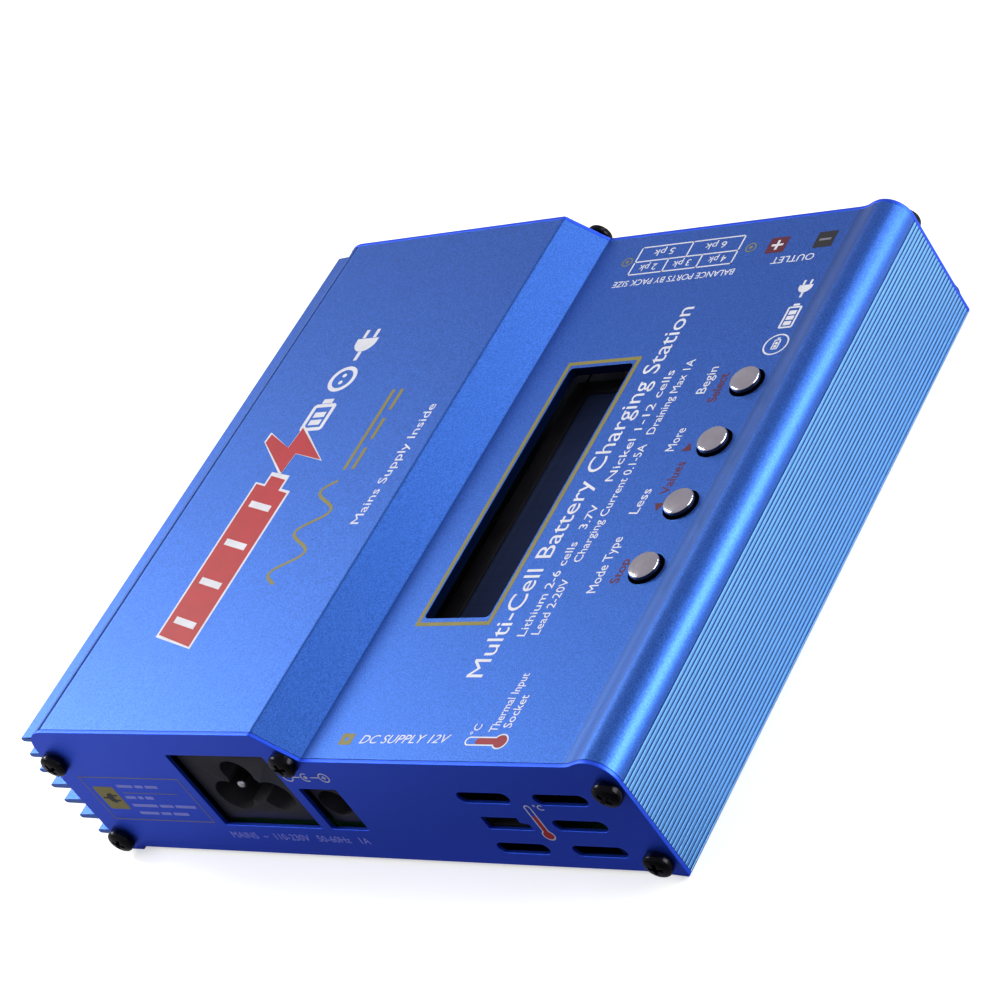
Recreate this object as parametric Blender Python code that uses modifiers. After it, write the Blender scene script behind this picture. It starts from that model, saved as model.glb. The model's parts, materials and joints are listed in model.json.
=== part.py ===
"""Balance battery charger: a blue aluminium case with its boards, sockets, display, fan and push buttons.

+X runs from the mains-inlet end to the output end, +Y from the ribbed front to the finned back, +Z up.
The origin is the middle of the footprint, on the surface that the feet stand on.
All sizes below are in millimetres; MM turns them into metres when a shape is made.
"""

import math

import bmesh
import bpy
from mathutils import Matrix, Vector

MM = 0.001
GAP = 0.3            # air left between separate pieces

# Case
HEIGHT = 36.0        # raised rear part
DECK_Z = 28.8        # lower front part
LENGTH = 137.0       # over the two end panels
PANEL = 0.8          # end panel thickness
FRONT_Y = -74.4      # ribbed front face
BACK_Y = 74.4        # longest fin tip
WALL = 2.0           # extruded wall thickness
FLOOR_Z = 1.0        # underside between the feet
SLOPE_TOP_Y = 4.4
SLOPE_FOOT_Y = -3.1
ROOT_Y = 67.2        # plane the fins grow from
CORNER = 5.8         # rounding radius of the top rear edge
SEAM_Y = 62.75       # joint between cover and tray along the top
FRONT_SEAM_Y = -64.95
LEDGE_Y = 59.5       # inner edge of the ledge under the cover
REAR_FOOT = [(61.6, FLOOR_Z), (61.9, 0.0), (66.4, 0.0), (ROOT_Y, 0.8)]
RAIL_YS = (57.5, 8.5, 0.5)
TONGUE_Z = (3.3, 4.8)
HALF = LENGTH / 2
TUBE = HALF - PANEL - GAP          # half length of both extrusions

# Ribs on the front face and fins on the back
RIB_COUNT = 26
RIB_PITCH = 0.94
RIB_TOP_Z = 24.3
RIB_DEPTH = 0.4
FIN_COUNT = 7
FIN_PITCH = 4.75
FIN_TOP_Z = 32.8
FIN_LONGEST = 4      # counted from the top fin

# Bullnose edge between deck and ribbed face
NOSE_R = 4.8
NOSE_Y = -69.6
NOSE_Z = 25.2
NOSE_START_Y = -64.3

# Screws that hold the end panels, (Y, Z)
SCREW_PLACES = {
    "rear_upper": (64.3, 27.3),
    "rear_lower": (64.7, 4.0),
    "slope": (0.4, 28.8),
    "front_upper": (-71.2, 23.1),
    "front_lower": (-70.6, 4.4),
}
TRAY_SCREWS = ("rear_upper", "rear_lower")
BOSS_R = 2.3
BORE_R = 1.5
SCREW_HEAD_R = 2.8
SCREW_HEAD_H = 2.2
SCREW_SHANK_R = 1.2
SCREW_LENGTH = 8.0
RECESS_REACH = 1.25
RECESS_HALF_WIDTH = 0.26
RECESS_DEPTH = 0.9

# Display window and push buttons on the deck
WINDOW_X = -2.3
WINDOW_Y = -21.1
WINDOW_SIZE = (64.6, 15.8)
WINDOW_CORNER = 1.0
BUTTONS = ("stop", "decrease", "increase", "start")
BUTTON_X = -24.0
BUTTON_PITCH = 15.28
BUTTON_Y = -59.6
BUTTON_HOLE_R = 3.68
BUTTON_R = 3.1
BUTTON_TOP_Z = 30.25
BUTTON_SKIRT = 5.2
STEM_R = 1.7
SWITCH_SIZE = 6.0
SWITCH_H = 3.8

# Display module under the window: its layers from board to bezel
DISPLAY_BOARD_SIZE = (80.0, 36.0)
DISPLAY_BOARD_Z = 15.5
DISPLAY_GLASS_SIZE = (68.4, 21.4)
DISPLAY_BACKLIGHT_Z = (17.4, 18.9)
DISPLAY_GLASS_Z = (19.2, 21.2)
BEZEL_SIZE = (71.2, 24.2)
BEZEL_INSIDE = (69.0, 22.0)
BEZEL_WINDOW = (64.6, 16.2)
BEZEL_Z = (17.4, 22.0)
BEZEL_FACE = 0.5
HEADER_LENGTH = 40.6
HEADER_WIDTH = 2.5
HEADER_OFFSET = (-37.5, -16.7)      # its near left corner from the middle of the window

# Boards
BOARD = 1.6
BOARD_Z = 9.0        # top of the main boards
RAIL_TOP_Z = BOARD_Z - BOARD - GAP
BOARD_X = 66.3
CONTROL_BOARD_Y = (-66.0, 4.3)
POWER_BOARD_Y = (4.9, 60.5)
BALANCE_BOARD_Y = (-45.0, -3.0)
BALANCE_BOARD_TOP_Z = 26.4
SHEET_X = 64.0
SHEET_Y = (10.2, 55.8)
SHEET = 0.4

# Mains inlet (three-pin, lobed) and low-voltage jack in the left panel
INLET_Y = 18.45
INLET_Z = 19.55
INLET_SIZE = (25.8, 20.7)
INLET_FACE_X = -67.0
INLET_BACK_X = -47.0
LOBES = {"earth": (0.0, 3.35, 3.7), "live": (-5.6, -2.95, 4.1), "neutral": (5.6, -2.95, 4.1)}
LOBE_MIDDLE = (-0.4, 4.2)           # height from the middle, radius
LOBE_DEPTH = 12.0
PIN_R = 1.2
PIN_SETBACK = 2.3
JACK_Y = -1.66
JACK_Z = 15.05
JACK_SIZE = (9.5, 11.7)
JACK_BORE_R = 3.2
JACK_BORE_Y = -1.1
JACK_BACK_X = -53.0
JACK_DEPTH = 9.0

# Vents and temperature port in the left panel
VENT_Y = (-41.1, -58.4)
VENT_Z = (5.85, 12.85, 19.8)
VENT_LENGTH = 11.9
VENT_WIDTH = 2.9
PORT_Y = (-47.0, -36.8)
PORT_Z = (11.15, 14.5)
PORT_STEP = (1.9, 1.7)
PORT_STEP_RISE = 0.4
SENSOR_SOCKET_DEPTH = 6.7
SENSOR_SOCKET_WALL = 1.2

# Fan behind the vents
FAN_SIZE = 20.0
FAN_X = (-58.0, -50.0)
FAN_Y = -49.75
FAN_Z = 13.2
FAN_BORE_R = 9.2
ROTOR_R = 8.7
HUB_R = 4.2
BLADES = 7
BLADE_THICKNESS = 0.7
BLADE_PITCH = 38.0
MOTOR_PLATE = 1.2
STRUTS = 3

# Output and balance sockets in the right panel
OUTPUT_Z = 14.0
OUTPUT_Y = {"positive": -50.5, "negative": -61.5}
OUTPUT_FLANGE_R = 4.8
OUTPUT_FLANGE = 1.5
OUTPUT_DEPTH = 15.0
OUTPUT_BODY_R = 3.8
CONTACT_R = 2.7
CONTACT_BORE_R = 2.05
CELL_ROWS = ((9.8, (6, 5)), (17.5, (4, 3, 2)))     # (bottom Z, cell counts from -Y to +Y)
CELL_START_Y = -43.6
CELL_H = 5.75
CELL_WALL = 0.75
CELL_GAP = 1.0
CELL_BACK_WALL = 1.2
CONTACT_PITCH = 2.5
CELL_MARGIN = 4.9
CELL_FRONT_X = 67.8
CELL_BACK_X = 60.1
RIGHT_VENT_Y = (22.0, 39.0)
RIGHT_VENT_Z = (12.0, 19.0, 26.0)

# Mains supply: (X, Y) of the upright pieces, sizes of the others
TRANSFORMER_PLACE = (6.0, 33.0)
TRANSFORMER_CORE = (30.0, 12.0, 22.0)
TRANSFORMER_LIMB = 6.5              # windows this far to either side of the middle
TRANSFORMER_WINDOW = (6.0, 14.0)
COIL_OUTSIDE = (18.4, 23.0)
COIL_INSIDE = (7.6, 12.6)
COIL_HALF_H = 6.7
CAPACITOR_PLACE = (-30.0, 46.0)
CAPACITOR_R = 8.0
CAPACITOR_H = 22.0
CHOKE_PLACE = (-28.0, 18.0)
CHOKE_RADII = (8.0, 3.4)
FUSE_PLACE = (-42.5, 18.0)
FUSE_HALF_LENGTH = 10.0
FUSE_CAP_R = 2.6
SPREADER_X = (-14.0, 52.0)
SPREADER_Y = (54.4, 60.4)
SPREADER_TOP_Z = 30.0
SPREADER_THICKNESS = 1.8
TRANSISTOR_X = (28.0, 38.0)
TRANSISTOR_Y = (53.9, 58.3)

# Charging circuit
INDUCTOR_PLACE = (47.5, -18.0)
INDUCTOR_RADII = (6.0, 3.0)
CHIP_X = (-15.0, -5.0)
CHIP_Y = (-26.0, -16.0)
CHIP_H = 1.4
BUZZER_PLACE = (22.0, -47.2)
BUZZER_R = 6.0
BUZZER_H = 6.4

# Colours (linear RGB), roughness, metallic
FINISHES = {
    "blue_anodised": ((0.03, 0.14, 0.55), 0.42, 0.9),
    "black_screw": ((0.01, 0.01, 0.012), 0.3, 0.8),
    "polished_nickel": ((0.75, 0.75, 0.76), 0.14, 1.0),
    "black_plastic": ((0.012, 0.012, 0.014), 0.45, 0.0),
    "white_plastic": ((0.75, 0.73, 0.68), 0.5, 0.0),
    "red_plastic": ((0.45, 0.01, 0.015), 0.35, 0.0),
    "green_board": ((0.01, 0.11, 0.05), 0.45, 0.0),
    "display_glass": ((0.02, 0.03, 0.06), 0.1, 0.0),
    "backlight": ((0.5, 0.6, 0.75), 0.5, 0.0),
    "brass": ((0.7, 0.5, 0.2), 0.3, 1.0),
    "ferrite": ((0.03, 0.03, 0.032), 0.7, 0.0),
    "copper_winding": ((0.45, 0.2, 0.05), 0.4, 0.6),
    "capacitor_sleeve": ((0.01, 0.02, 0.06), 0.35, 0.0),
    "bare_aluminium": ((0.6, 0.6, 0.62), 0.4, 1.0),
    "fuse_glass": ((0.7, 0.72, 0.7), 0.15, 0.0),
    "insulation": ((0.7, 0.6, 0.4), 0.5, 0.0),
}

parts = None
cutters = None
materials = {}


def clear_scene():
    for thing in list(bpy.context.scene.objects):
        bpy.data.objects.remove(thing, do_unlink=True)


def new_collection(name):
    made = bpy.data.collections.new(name)
    bpy.context.scene.collection.children.link(made)
    return made


def make_materials():
    for name, (colour, roughness, metallic) in FINISHES.items():
        made = bpy.data.materials.new(name)
        made.use_nodes = True
        shader = made.node_tree.nodes["Principled BSDF"]
        shader.inputs["Base Color"].default_value = (*colour, 1.0)
        shader.inputs["Roughness"].default_value = roughness
        shader.inputs["Metallic"].default_value = metallic
        materials[name] = made


# ---------------------------------------------------------------- outlines (lists of 2-D points, mm)

def arc(centre, radius, start, end, steps):
    """Points on a circular arc; the angles are in degrees, anticlockwise."""
    points = []
    for i in range(steps + 1):
        angle = math.radians(start + (end - start) * i / steps)
        points.append((centre[0] + radius * math.cos(angle), centre[1] + radius * math.sin(angle)))
    return points


def circle(centre, radius, steps=24):
    return arc(centre, radius, 0, 360, steps)[:-1]


def rectangle(lo, hi, corner=0.0, steps=3):
    """Anticlockwise rectangle, with rounded corners if corner is above 0."""
    if corner <= 0:
        return [(lo[0], lo[1]), (hi[0], lo[1]), (hi[0], hi[1]), (lo[0], hi[1])]
    points = arc((hi[0] - corner, lo[1] + corner), corner, -90, 0, steps)
    points += arc((hi[0] - corner, hi[1] - corner), corner, 0, 90, steps)
    points += arc((lo[0] + corner, hi[1] - corner), corner, 90, 180, steps)
    points += arc((lo[0] + corner, lo[1] + corner), corner, 180, 270, steps)
    return points


def slot(centre, length, width):
    """A slot with round ends, its length along the first axis."""
    reach = (length - width) / 2
    right = arc((centre[0] + reach, centre[1]), width / 2, -90, 90, 6)
    left = arc((centre[0] - reach, centre[1]), width / 2, 90, 270, 6)
    return right + left


def inset(points, distance):
    """The open outline moved sideways to its left by distance, with mitred corners."""
    moved = []
    for i, point in enumerate(points):
        here = Vector(point)
        before = here - Vector(points[i - 1]) if i > 0 else None
        after = Vector(points[i + 1]) - here if i < len(points) - 1 else None
        before = (before or after).normalized()
        after = (after or before).normalized()
        left_a = Vector((-before.y, before.x))
        left_b = Vector((-after.y, after.x))
        middle = (left_a + left_b).normalized()
        reach = distance / max(0.3, middle.dot(left_a))
        moved.append(tuple(here + middle * reach))
    return moved


def nose(steps):
    """The rounded edge from the deck to the ribbed face: a small hollow, a crest, then a quarter round."""
    hollow = [(NOSE_START_Y, DECK_Z), (-65.6, 28.93), (-66.9, 29.4), (-68.2, 29.85)]
    return hollow + arc((NOSE_Y, NOSE_Z), NOSE_R, 90, 180, steps)


def case_top(steps=10):
    """The case's upper line from the raised rear edge, over the slope and deck, to the front face."""
    return [(SLOPE_TOP_Y, HEIGHT), (SLOPE_FOOT_Y, DECK_Z)] + nose(steps)


def ribs():
    """Trapezium grooves down the front face, from top to bottom."""
    points = []
    for i in range(RIB_COUNT):
        z = RIB_TOP_Z - i * RIB_PITCH
        points += [
            (FRONT_Y, z + 0.2),
            (FRONT_Y + RIB_DEPTH, z + 0.1),
            (FRONT_Y + RIB_DEPTH, z - 0.1),
            (FRONT_Y, z - 0.2),
        ]
    return points


def rear_corner_y(z):
    """Y of the rounded top rear edge at height z."""
    rise = max(0.0, z - (HEIGHT - CORNER))
    return ROOT_Y - CORNER + math.sqrt(CORNER ** 2 - rise ** 2)


def front_foot():
    """The front edge runs down to the table; behind it the underside rises to the seam."""
    return [(FRONT_Y, 0.25), (FRONT_Y + 0.25, 0.0), (FRONT_SEAM_Y - GAP / 2, FLOOR_Z)]


def cover_outline():
    """Top cover: raised top, slope, deck, rounded edge, ribbed face and front foot, one wall thick."""
    top = [(SEAM_Y - GAP / 2, HEIGHT - 0.12), (ROOT_Y - CORNER, HEIGHT)] + case_top()
    outside = top + ribs() + front_foot()
    plain = top + front_foot()
    inside = inset(plain, WALL)
    return outside + inside[::-1]


def fin(z, tip):
    """One cooling fin, traced upwards: slightly tapered, with a rounded tip."""
    root, end = 0.8, 0.6
    low = (rear_corner_y(z - root), z - root)
    high = (rear_corner_y(z + root), z + root)
    return [low] + arc((tip - end, z), end, -90, 90, 4) + [high]


def fin_tip(z):
    """The tips lie on a shallow curve, longest at one fin and tighter below it."""
    centre = FIN_TOP_Z - FIN_LONGEST * FIN_PITCH
    spread = 90.0 if z > centre else 45.0
    return BACK_Y - (z - centre) ** 2 / spread


def rail(y, width=2.0):
    """A board rail standing on the floor, traced from +Y to -Y."""
    floor = FLOOR_Z + WALL
    rear, front = y + width / 2, y - width / 2
    return [(rear, floor), (rear, RAIL_TOP_Z), (front, RAIL_TOP_Z), (front, floor)]


def tray_outline():
    """Base tray: floor with rear foot, finned back wall, ledge under the cover and a front tongue."""
    floor = FLOOR_Z + WALL
    wall_y = ROOT_Y - 2.4
    seam = SEAM_Y + GAP / 2
    points = [(FRONT_SEAM_Y + GAP / 2, FLOOR_Z)] + REAR_FOOT
    for i in reversed(range(FIN_COUNT)):
        z = FIN_TOP_Z - i * FIN_PITCH
        points += fin(z, fin_tip(z))
    start = math.degrees(math.asin((FIN_TOP_Z + 1.1 - HEIGHT + CORNER) / CORNER))
    end = math.degrees(math.acos((seam - ROOT_Y + CORNER) / CORNER))
    points += arc((ROOT_Y - CORNER, HEIGHT - CORNER), CORNER, start, end, 4)
    ledge = HEIGHT - WALL - GAP
    points += [(seam, ledge), (LEDGE_Y, ledge), (LEDGE_Y, ledge - 1.6), (wall_y - 2.0, ledge - 1.6)]
    points += [(wall_y, 30.0), (wall_y, floor)]
    for y in RAIL_YS:
        points += rail(y)
    low, high = TONGUE_Z
    tongue = FRONT_SEAM_Y - 2.6
    last_rail = FRONT_SEAM_Y + 0.45
    points += [(last_rail + 2.2, floor), (last_rail + 2.2, RAIL_TOP_Z), (last_rail, RAIL_TOP_Z)]
    points += [(last_rail, high), (tongue, high), (tongue, low), (FRONT_SEAM_Y + GAP / 2, low)]
    return points


def panel_outline():
    """The end panels follow the case's outline with both feet, without the fins and ribs."""
    back = ROOT_Y + 0.2
    points = front_foot() + REAR_FOOT[:-1] + [(back, 0.8)]
    points += arc((back - CORNER, HEIGHT - CORNER), CORNER, 0, 90, 6)
    return points + case_top()


# ---------------------------------------------------------------- solids

def to_mesh(thing):
    """Replaces a curve object by the mesh it draws, with its caps welded."""
    evaluated = thing.evaluated_get(bpy.context.evaluated_depsgraph_get())
    mesh = bpy.data.meshes.new_from_object(evaluated)
    work = bmesh.new()
    work.from_mesh(mesh)
    bmesh.ops.remove_doubles(work, verts=work.verts, dist=1e-6)
    bmesh.ops.recalc_face_normals(work, faces=work.faces)
    work.to_mesh(mesh)
    work.free()
    made = bpy.data.objects.new(thing.name + "_mesh", mesh)
    made.matrix_world = thing.matrix_world.copy()
    name = thing.name
    curve = thing.data
    bpy.data.objects.remove(thing)
    bpy.data.curves.remove(curve)
    made.name = name
    return made


def extruded(name, outlines, axis, lo, hi):
    """Outlines (the first outside, the others holes) pushed along X, Y or Z from lo to hi."""
    curve = bpy.data.curves.new(name, "CURVE")
    curve.dimensions = "2D"
    curve.fill_mode = "BOTH"
    curve.extrude = (hi - lo) / 2 * MM
    curve.render_resolution_u = 0
    for points in outlines:
        line = curve.splines.new("POLY")
        line.points.add(len(points) - 1)
        for target, point in zip(line.points, points):
            target.co = (point[0] * MM, point[1] * MM, 0.0, 1.0)
        line.use_cyclic_u = True
    thing = bpy.data.objects.new(name, curve)
    middle = (lo + hi) / 2 * MM
    if axis == "X":
        turn = Matrix(((0, 0, 1), (1, 0, 0), (0, 1, 0)))
        place = Vector((middle, 0, 0))
    elif axis == "Y":
        turn = Matrix(((1, 0, 0), (0, 0, -1), (0, 1, 0)))
        place = Vector((0, middle, 0))
    else:
        turn = Matrix.Identity(3)
        place = Vector((0, 0, middle))
    thing.matrix_world = Matrix.Translation(place) @ turn.to_4x4()
    bpy.context.scene.collection.objects.link(thing)
    bpy.context.view_layer.update()
    return to_mesh(thing)


def block(name, lo, hi):
    """A box between two corners."""
    mesh = bpy.data.meshes.new(name)
    work = bmesh.new()
    bmesh.ops.create_cube(work, size=1.0)
    size = [(b - a) * MM for a, b in zip(lo, hi)]
    middle = [(a + b) / 2 * MM for a, b in zip(lo, hi)]
    bmesh.ops.scale(work, vec=size, verts=work.verts)
    bmesh.ops.translate(work, vec=middle, verts=work.verts)
    work.to_mesh(mesh)
    work.free()
    return bpy.data.objects.new(name, mesh)


AXIS_TURN = {
    "X": Matrix.Rotation(math.radians(90), 4, "Y"),
    "-X": Matrix.Rotation(math.radians(-90), 4, "Y"),
    "Y": Matrix.Rotation(math.radians(-90), 4, "X"),
    "Z": Matrix.Identity(4),
}


def cylinder(name, centre, axis, radius, length, segments=24):
    """A cylinder around centre, along axis."""
    mesh = bpy.data.meshes.new(name)
    work = bmesh.new()
    bmesh.ops.create_cone(work, cap_ends=True, segments=segments, radius1=radius * MM, radius2=radius * MM,
                          depth=length * MM)
    work.to_mesh(mesh)
    work.free()
    mesh.transform(Matrix.Translation(Vector(centre) * MM) @ AXIS_TURN[axis])
    return bpy.data.objects.new(name, mesh)


def turned(name, profile, place, axis="Z", steps=20):
    """A turned shape: profile is (radius, height) pairs from top to bottom, height along axis from place."""
    mesh = bpy.data.meshes.new(name)
    closed = profile[0][0] > 0
    count = len(profile)
    edges = [(i, i + 1) for i in range(count - 1)] + ([(count - 1, 0)] if closed else [])
    mesh.from_pydata([(r * MM, 0.0, h * MM) for r, h in profile], edges, [])
    thing = bpy.data.objects.new(name, mesh)
    thing.matrix_world = Matrix.Translation(Vector(place) * MM) @ AXIS_TURN[axis]
    spin = thing.modifiers.new("spin", "SCREW")
    spin.steps = steps
    spin.render_steps = steps
    spin.use_merge_vertices = True
    spin.merge_threshold = 1e-6
    spin.use_smooth_shade = True
    return thing


def ring_core(name, centre, axis, major, minor):
    """A wound ring."""
    bpy.ops.mesh.primitive_torus_add(major_radius=major * MM, minor_radius=minor * MM, major_segments=24,
                                     minor_segments=10)
    thing = bpy.context.active_object
    thing.name = name
    thing.data.transform(Matrix.Translation(Vector(centre) * MM) @ AXIS_TURN[axis])
    for home in list(thing.users_collection):
        home.objects.unlink(thing)
    return thing


def boolean(target, tool, operation):
    """Adds a Boolean modifier and files the tool with the cutters."""
    cutters.objects.link(tool)
    tool.hide_render = True
    tool.display_type = "WIRE"
    step = target.modifiers.new(operation.lower(), "BOOLEAN")
    step.operation = operation
    step.solver = "EXACT"
    step.object = tool
    return target


def cut(target, *tools):
    for tool in tools:
        boolean(target, tool, "DIFFERENCE")
    return target


def join(target, *tools):
    for tool in tools:
        boolean(target, tool, "UNION")
    return target


def soften(thing, width, segments=2):
    """Rounded edges."""
    step = thing.modifiers.new("bevel", "BEVEL")
    step.width = width * MM
    step.segments = segments
    step.limit_method = "ANGLE"
    step.angle_limit = math.radians(40)
    return thing


def part(thing, name, material):
    """Files a finished piece under its node name, with its material."""
    thing.name = name
    if name in [o.name for o in parts.objects]:
        raise ValueError(name)
    thing.data.materials.clear()
    thing.data.materials.append(materials[material])
    parts.objects.link(thing)
    if "spin" in thing.modifiers:
        thing.data.shade_smooth()
    return thing


# ---------------------------------------------------------------- case

def bosses_and_bores(shell, places):
    """Full-length screw channels inside an extrusion."""
    for place in places:
        centre = (0, *SCREW_PLACES[place])
        join(shell, cylinder("boss_" + place, centre, "X", BOSS_R, 2 * TUBE - 0.02))
    for place in places:
        centre = (0, *SCREW_PLACES[place])
        cut(shell, cylinder("bore_" + place, centre, "X", BORE_R, 2 * TUBE + 4, 16))


def button_x(index):
    return BUTTON_X + index * BUTTON_PITCH


def make_top_cover():
    cover = extruded("top_cover", [cover_outline()], "X", -TUBE, TUBE)
    bosses_and_bores(cover, [p for p in SCREW_PLACES if p not in TRAY_SCREWS])
    half = (WINDOW_SIZE[0] / 2, WINDOW_SIZE[1] / 2)
    window = rectangle((WINDOW_X - half[0], WINDOW_Y - half[1]), (WINDOW_X + half[0], WINDOW_Y + half[1]),
                       WINDOW_CORNER)
    cut(cover, extruded("window_cutter", [window], "Z", DECK_Z - WALL - 2, DECK_Z + 2))
    for i, name in enumerate(BUTTONS):
        centre = (button_x(i), BUTTON_Y, DECK_Z - WALL / 2)
        cut(cover, cylinder("hole_cutter_" + name, centre, "Z", BUTTON_HOLE_R, WALL + 2))
    part(cover, "top_cover", "blue_anodised")


def make_base_tray():
    tray = extruded("base_tray", [tray_outline()], "X", -TUBE, TUBE)
    bosses_and_bores(tray, TRAY_SCREWS)
    part(tray, "base_tray", "blue_anodised")


def screw_holes():
    return [circle(place, BORE_R, 16) for place in SCREW_PLACES.values()]


def centred(centre, size, corner=0.0):
    lo = (centre[0] - size[0] / 2, centre[1] - size[1] / 2)
    hi = (centre[0] + size[0] / 2, centre[1] + size[1] / 2)
    return rectangle(lo, hi, corner)


def port_outline():
    """The temperature port has one stepped corner, which keys its plug."""
    (near, far), (low, high) = PORT_Y, PORT_Z
    step_y, step_z = PORT_STEP
    step_low = high - step_z
    return [(near, low), (far, low), (far, high), (near + step_y, high),
            (near + step_y, step_low + PORT_STEP_RISE), (near, step_low)]


def make_left_panel():
    holes = screw_holes()
    holes.append(centred((INLET_Y, INLET_Z), INLET_SIZE))
    holes.append(centred((JACK_Y, JACK_Z), JACK_SIZE))
    for y in VENT_Y:
        for z in VENT_Z:
            if (y, z) != (VENT_Y[0], VENT_Z[1]):
                holes.append(slot((y, z), VENT_LENGTH, VENT_WIDTH))
    holes.append(port_outline())
    panel = extruded("left_end_panel", [panel_outline()] + holes, "X", -HALF, -HALF + PANEL)
    part(panel, "left_end_panel", "blue_anodised")


def cell_width(cells):
    """Socket width for cells + 1 contacts."""
    return CONTACT_PITCH * cells + CELL_MARGIN


def cell_sockets():
    """(cells, low Y, bottom Z) of each balance socket."""
    found = []
    for bottom, row in CELL_ROWS:
        y = CELL_START_Y
        for cells in row:
            found.append((cells, y, bottom))
            y += cell_width(cells) + CELL_GAP
    return found


def make_right_panel():
    holes = screw_holes()
    for bottom, row in CELL_ROWS:
        width = sum(cell_width(c) for c in row) + CELL_GAP * (len(row) - 1)
        lo = (CELL_START_Y - GAP, bottom - GAP)
        hi = (CELL_START_Y + width + GAP, bottom + CELL_H + GAP)
        holes.append(rectangle(lo, hi))
    for y in OUTPUT_Y.values():
        holes.append(circle((y, OUTPUT_Z), OUTPUT_BODY_R + GAP))
    for y in RIGHT_VENT_Y:
        for z in RIGHT_VENT_Z:
            holes.append(slot((y, z), VENT_LENGTH, VENT_WIDTH))
    panel = extruded("right_end_panel", [panel_outline()] + holes, "X", HALF - PANEL, HALF)
    part(panel, "right_end_panel", "blue_anodised")


def make_screws():
    """Ten domed cross-recess screws, five to each end panel, sharing one mesh."""
    h, r = SCREW_HEAD_H, SCREW_HEAD_R
    profile = [(0, h), (r * 0.45, h * 0.95), (r * 0.78, h * 0.72), (r * 0.96, h * 0.35), (r, 0),
               (SCREW_SHANK_R, 0), (SCREW_SHANK_R, -SCREW_LENGTH + 0.8), (0, -SCREW_LENGTH)]
    model = turned("screw_model", profile, (0, 0, 0), "Z", 20)
    reach, width, bottom = RECESS_REACH, RECESS_HALF_WIDTH, h - RECESS_DEPTH
    cut(model, block("recess_a", (-reach, -width, bottom), (reach, width, h + 1)),
        block("recess_b", (-width, -reach, bottom), (width, reach, h + 1)))
    cutters.objects.link(model)
    model.hide_render = True
    model.display_type = "WIRE"
    bpy.context.view_layer.update()
    mesh = bpy.data.meshes.new_from_object(model.evaluated_get(bpy.context.evaluated_depsgraph_get()))
    for side, sign in (("left", -1), ("right", 1)):
        for place, (y, z) in SCREW_PLACES.items():
            name = f"screw_{side}_{place}"
            thing = bpy.data.objects.new(name, mesh)
            axis = "X" if sign > 0 else "-X"
            seat = Vector((sign * (HALF + GAP), y, z)) * MM
            thing.matrix_world = Matrix.Translation(seat) @ AXIS_TURN[axis]
            part(thing, name, "black_screw")


# ---------------------------------------------------------------- controls and display

def make_buttons():
    """Metal push buttons: a short round cap on a stem that reaches down to its switch."""
    switch_top = BOARD_Z + GAP + SWITCH_H
    low = switch_top + 0.8 - BUTTON_TOP_Z
    profile = [(0, 0), (BUTTON_R - 0.55, 0), (BUTTON_R - 0.2, -0.14), (BUTTON_R, -0.5),
               (BUTTON_R, -BUTTON_SKIRT), (STEM_R, -BUTTON_SKIRT), (STEM_R, low), (0, low)]
    for i, name in enumerate(BUTTONS):
        x = button_x(i)
        cap = turned("button_" + name, profile, (x, BUTTON_Y, BUTTON_TOP_Z))
        part(cap, "button_" + name, "polished_nickel")
        half = SWITCH_SIZE / 2
        lo = (x - half, BUTTON_Y - half, BOARD_Z + GAP)
        hi = (x + half, BUTTON_Y + half, switch_top)
        body = block("switch_" + name, lo, hi)
        part(soften(body, 0.3, 1), "switch_" + name, "black_plastic")


def make_display():
    """Character display module: board, backlight, glass and a black metal bezel with a window."""
    x, y = WINDOW_X, WINDOW_Y

    def slab(name, size, low, high, corner=0.0):
        return extruded(name, [centred((x, y), size, corner)], "Z", low, high)

    board_top = DISPLAY_BOARD_Z + BOARD
    board = slab("display_board", DISPLAY_BOARD_SIZE, DISPLAY_BOARD_Z, board_top)
    part(board, "display_board", "green_board")
    backlight = slab("display_backlight", DISPLAY_GLASS_SIZE, *DISPLAY_BACKLIGHT_Z)
    part(backlight, "display_backlight", "backlight")
    part(slab("display_glass", DISPLAY_GLASS_SIZE, *DISPLAY_GLASS_Z), "display_glass", "display_glass")
    low, high = BEZEL_Z
    bezel = slab("display_bezel", BEZEL_SIZE, low, high, 0.8)
    cut(bezel, slab("bezel_hollow", BEZEL_INSIDE, low - 1, high - BEZEL_FACE),
        slab("bezel_window", BEZEL_WINDOW, high - 2, high + 2, 0.6))
    part(bezel, "display_bezel", "black_plastic")
    corner = (x + HEADER_OFFSET[0], y + HEADER_OFFSET[1])
    header = block("display_header", (*corner, BOARD_Z + GAP),
                   (corner[0] + HEADER_LENGTH, corner[1] + HEADER_WIDTH, DISPLAY_BOARD_Z - GAP))
    part(header, "display_header", "black_plastic")


# ---------------------------------------------------------------- boards

def make_boards():
    low, high = BOARD_Z - BOARD, BOARD_Z
    front = rectangle((-BOARD_X, CONTROL_BOARD_Y[0]), (BOARD_X, CONTROL_BOARD_Y[1]))
    half = FAN_SIZE / 2 + 0.4
    notch = rectangle((FAN_X[0] - 1.2, FAN_Y - half), (FAN_X[1] + 1.2, FAN_Y + half))
    part(extruded("control_board", [front, notch], "Z", low, high), "control_board", "green_board")
    rear = rectangle((-BOARD_X, POWER_BOARD_Y[0]), (BOARD_X, POWER_BOARD_Y[1]))
    part(extruded("power_board", [rear], "Z", low, high), "power_board", "green_board")
    upright = rectangle((BALANCE_BOARD_Y[0], BOARD_Z + GAP), (BALANCE_BOARD_Y[1], BALANCE_BOARD_TOP_Z))
    inner = CELL_BACK_X - GAP
    part(extruded("balance_board", [upright], "X", inner - BOARD, inner), "balance_board", "green_board")
    floor = FLOOR_Z + WALL + GAP
    sheet = block("insulating_sheet", (-SHEET_X, SHEET_Y[0], floor), (SHEET_X, SHEET_Y[1], floor + SHEET))
    part(sheet, "insulating_sheet", "insulation")


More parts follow.
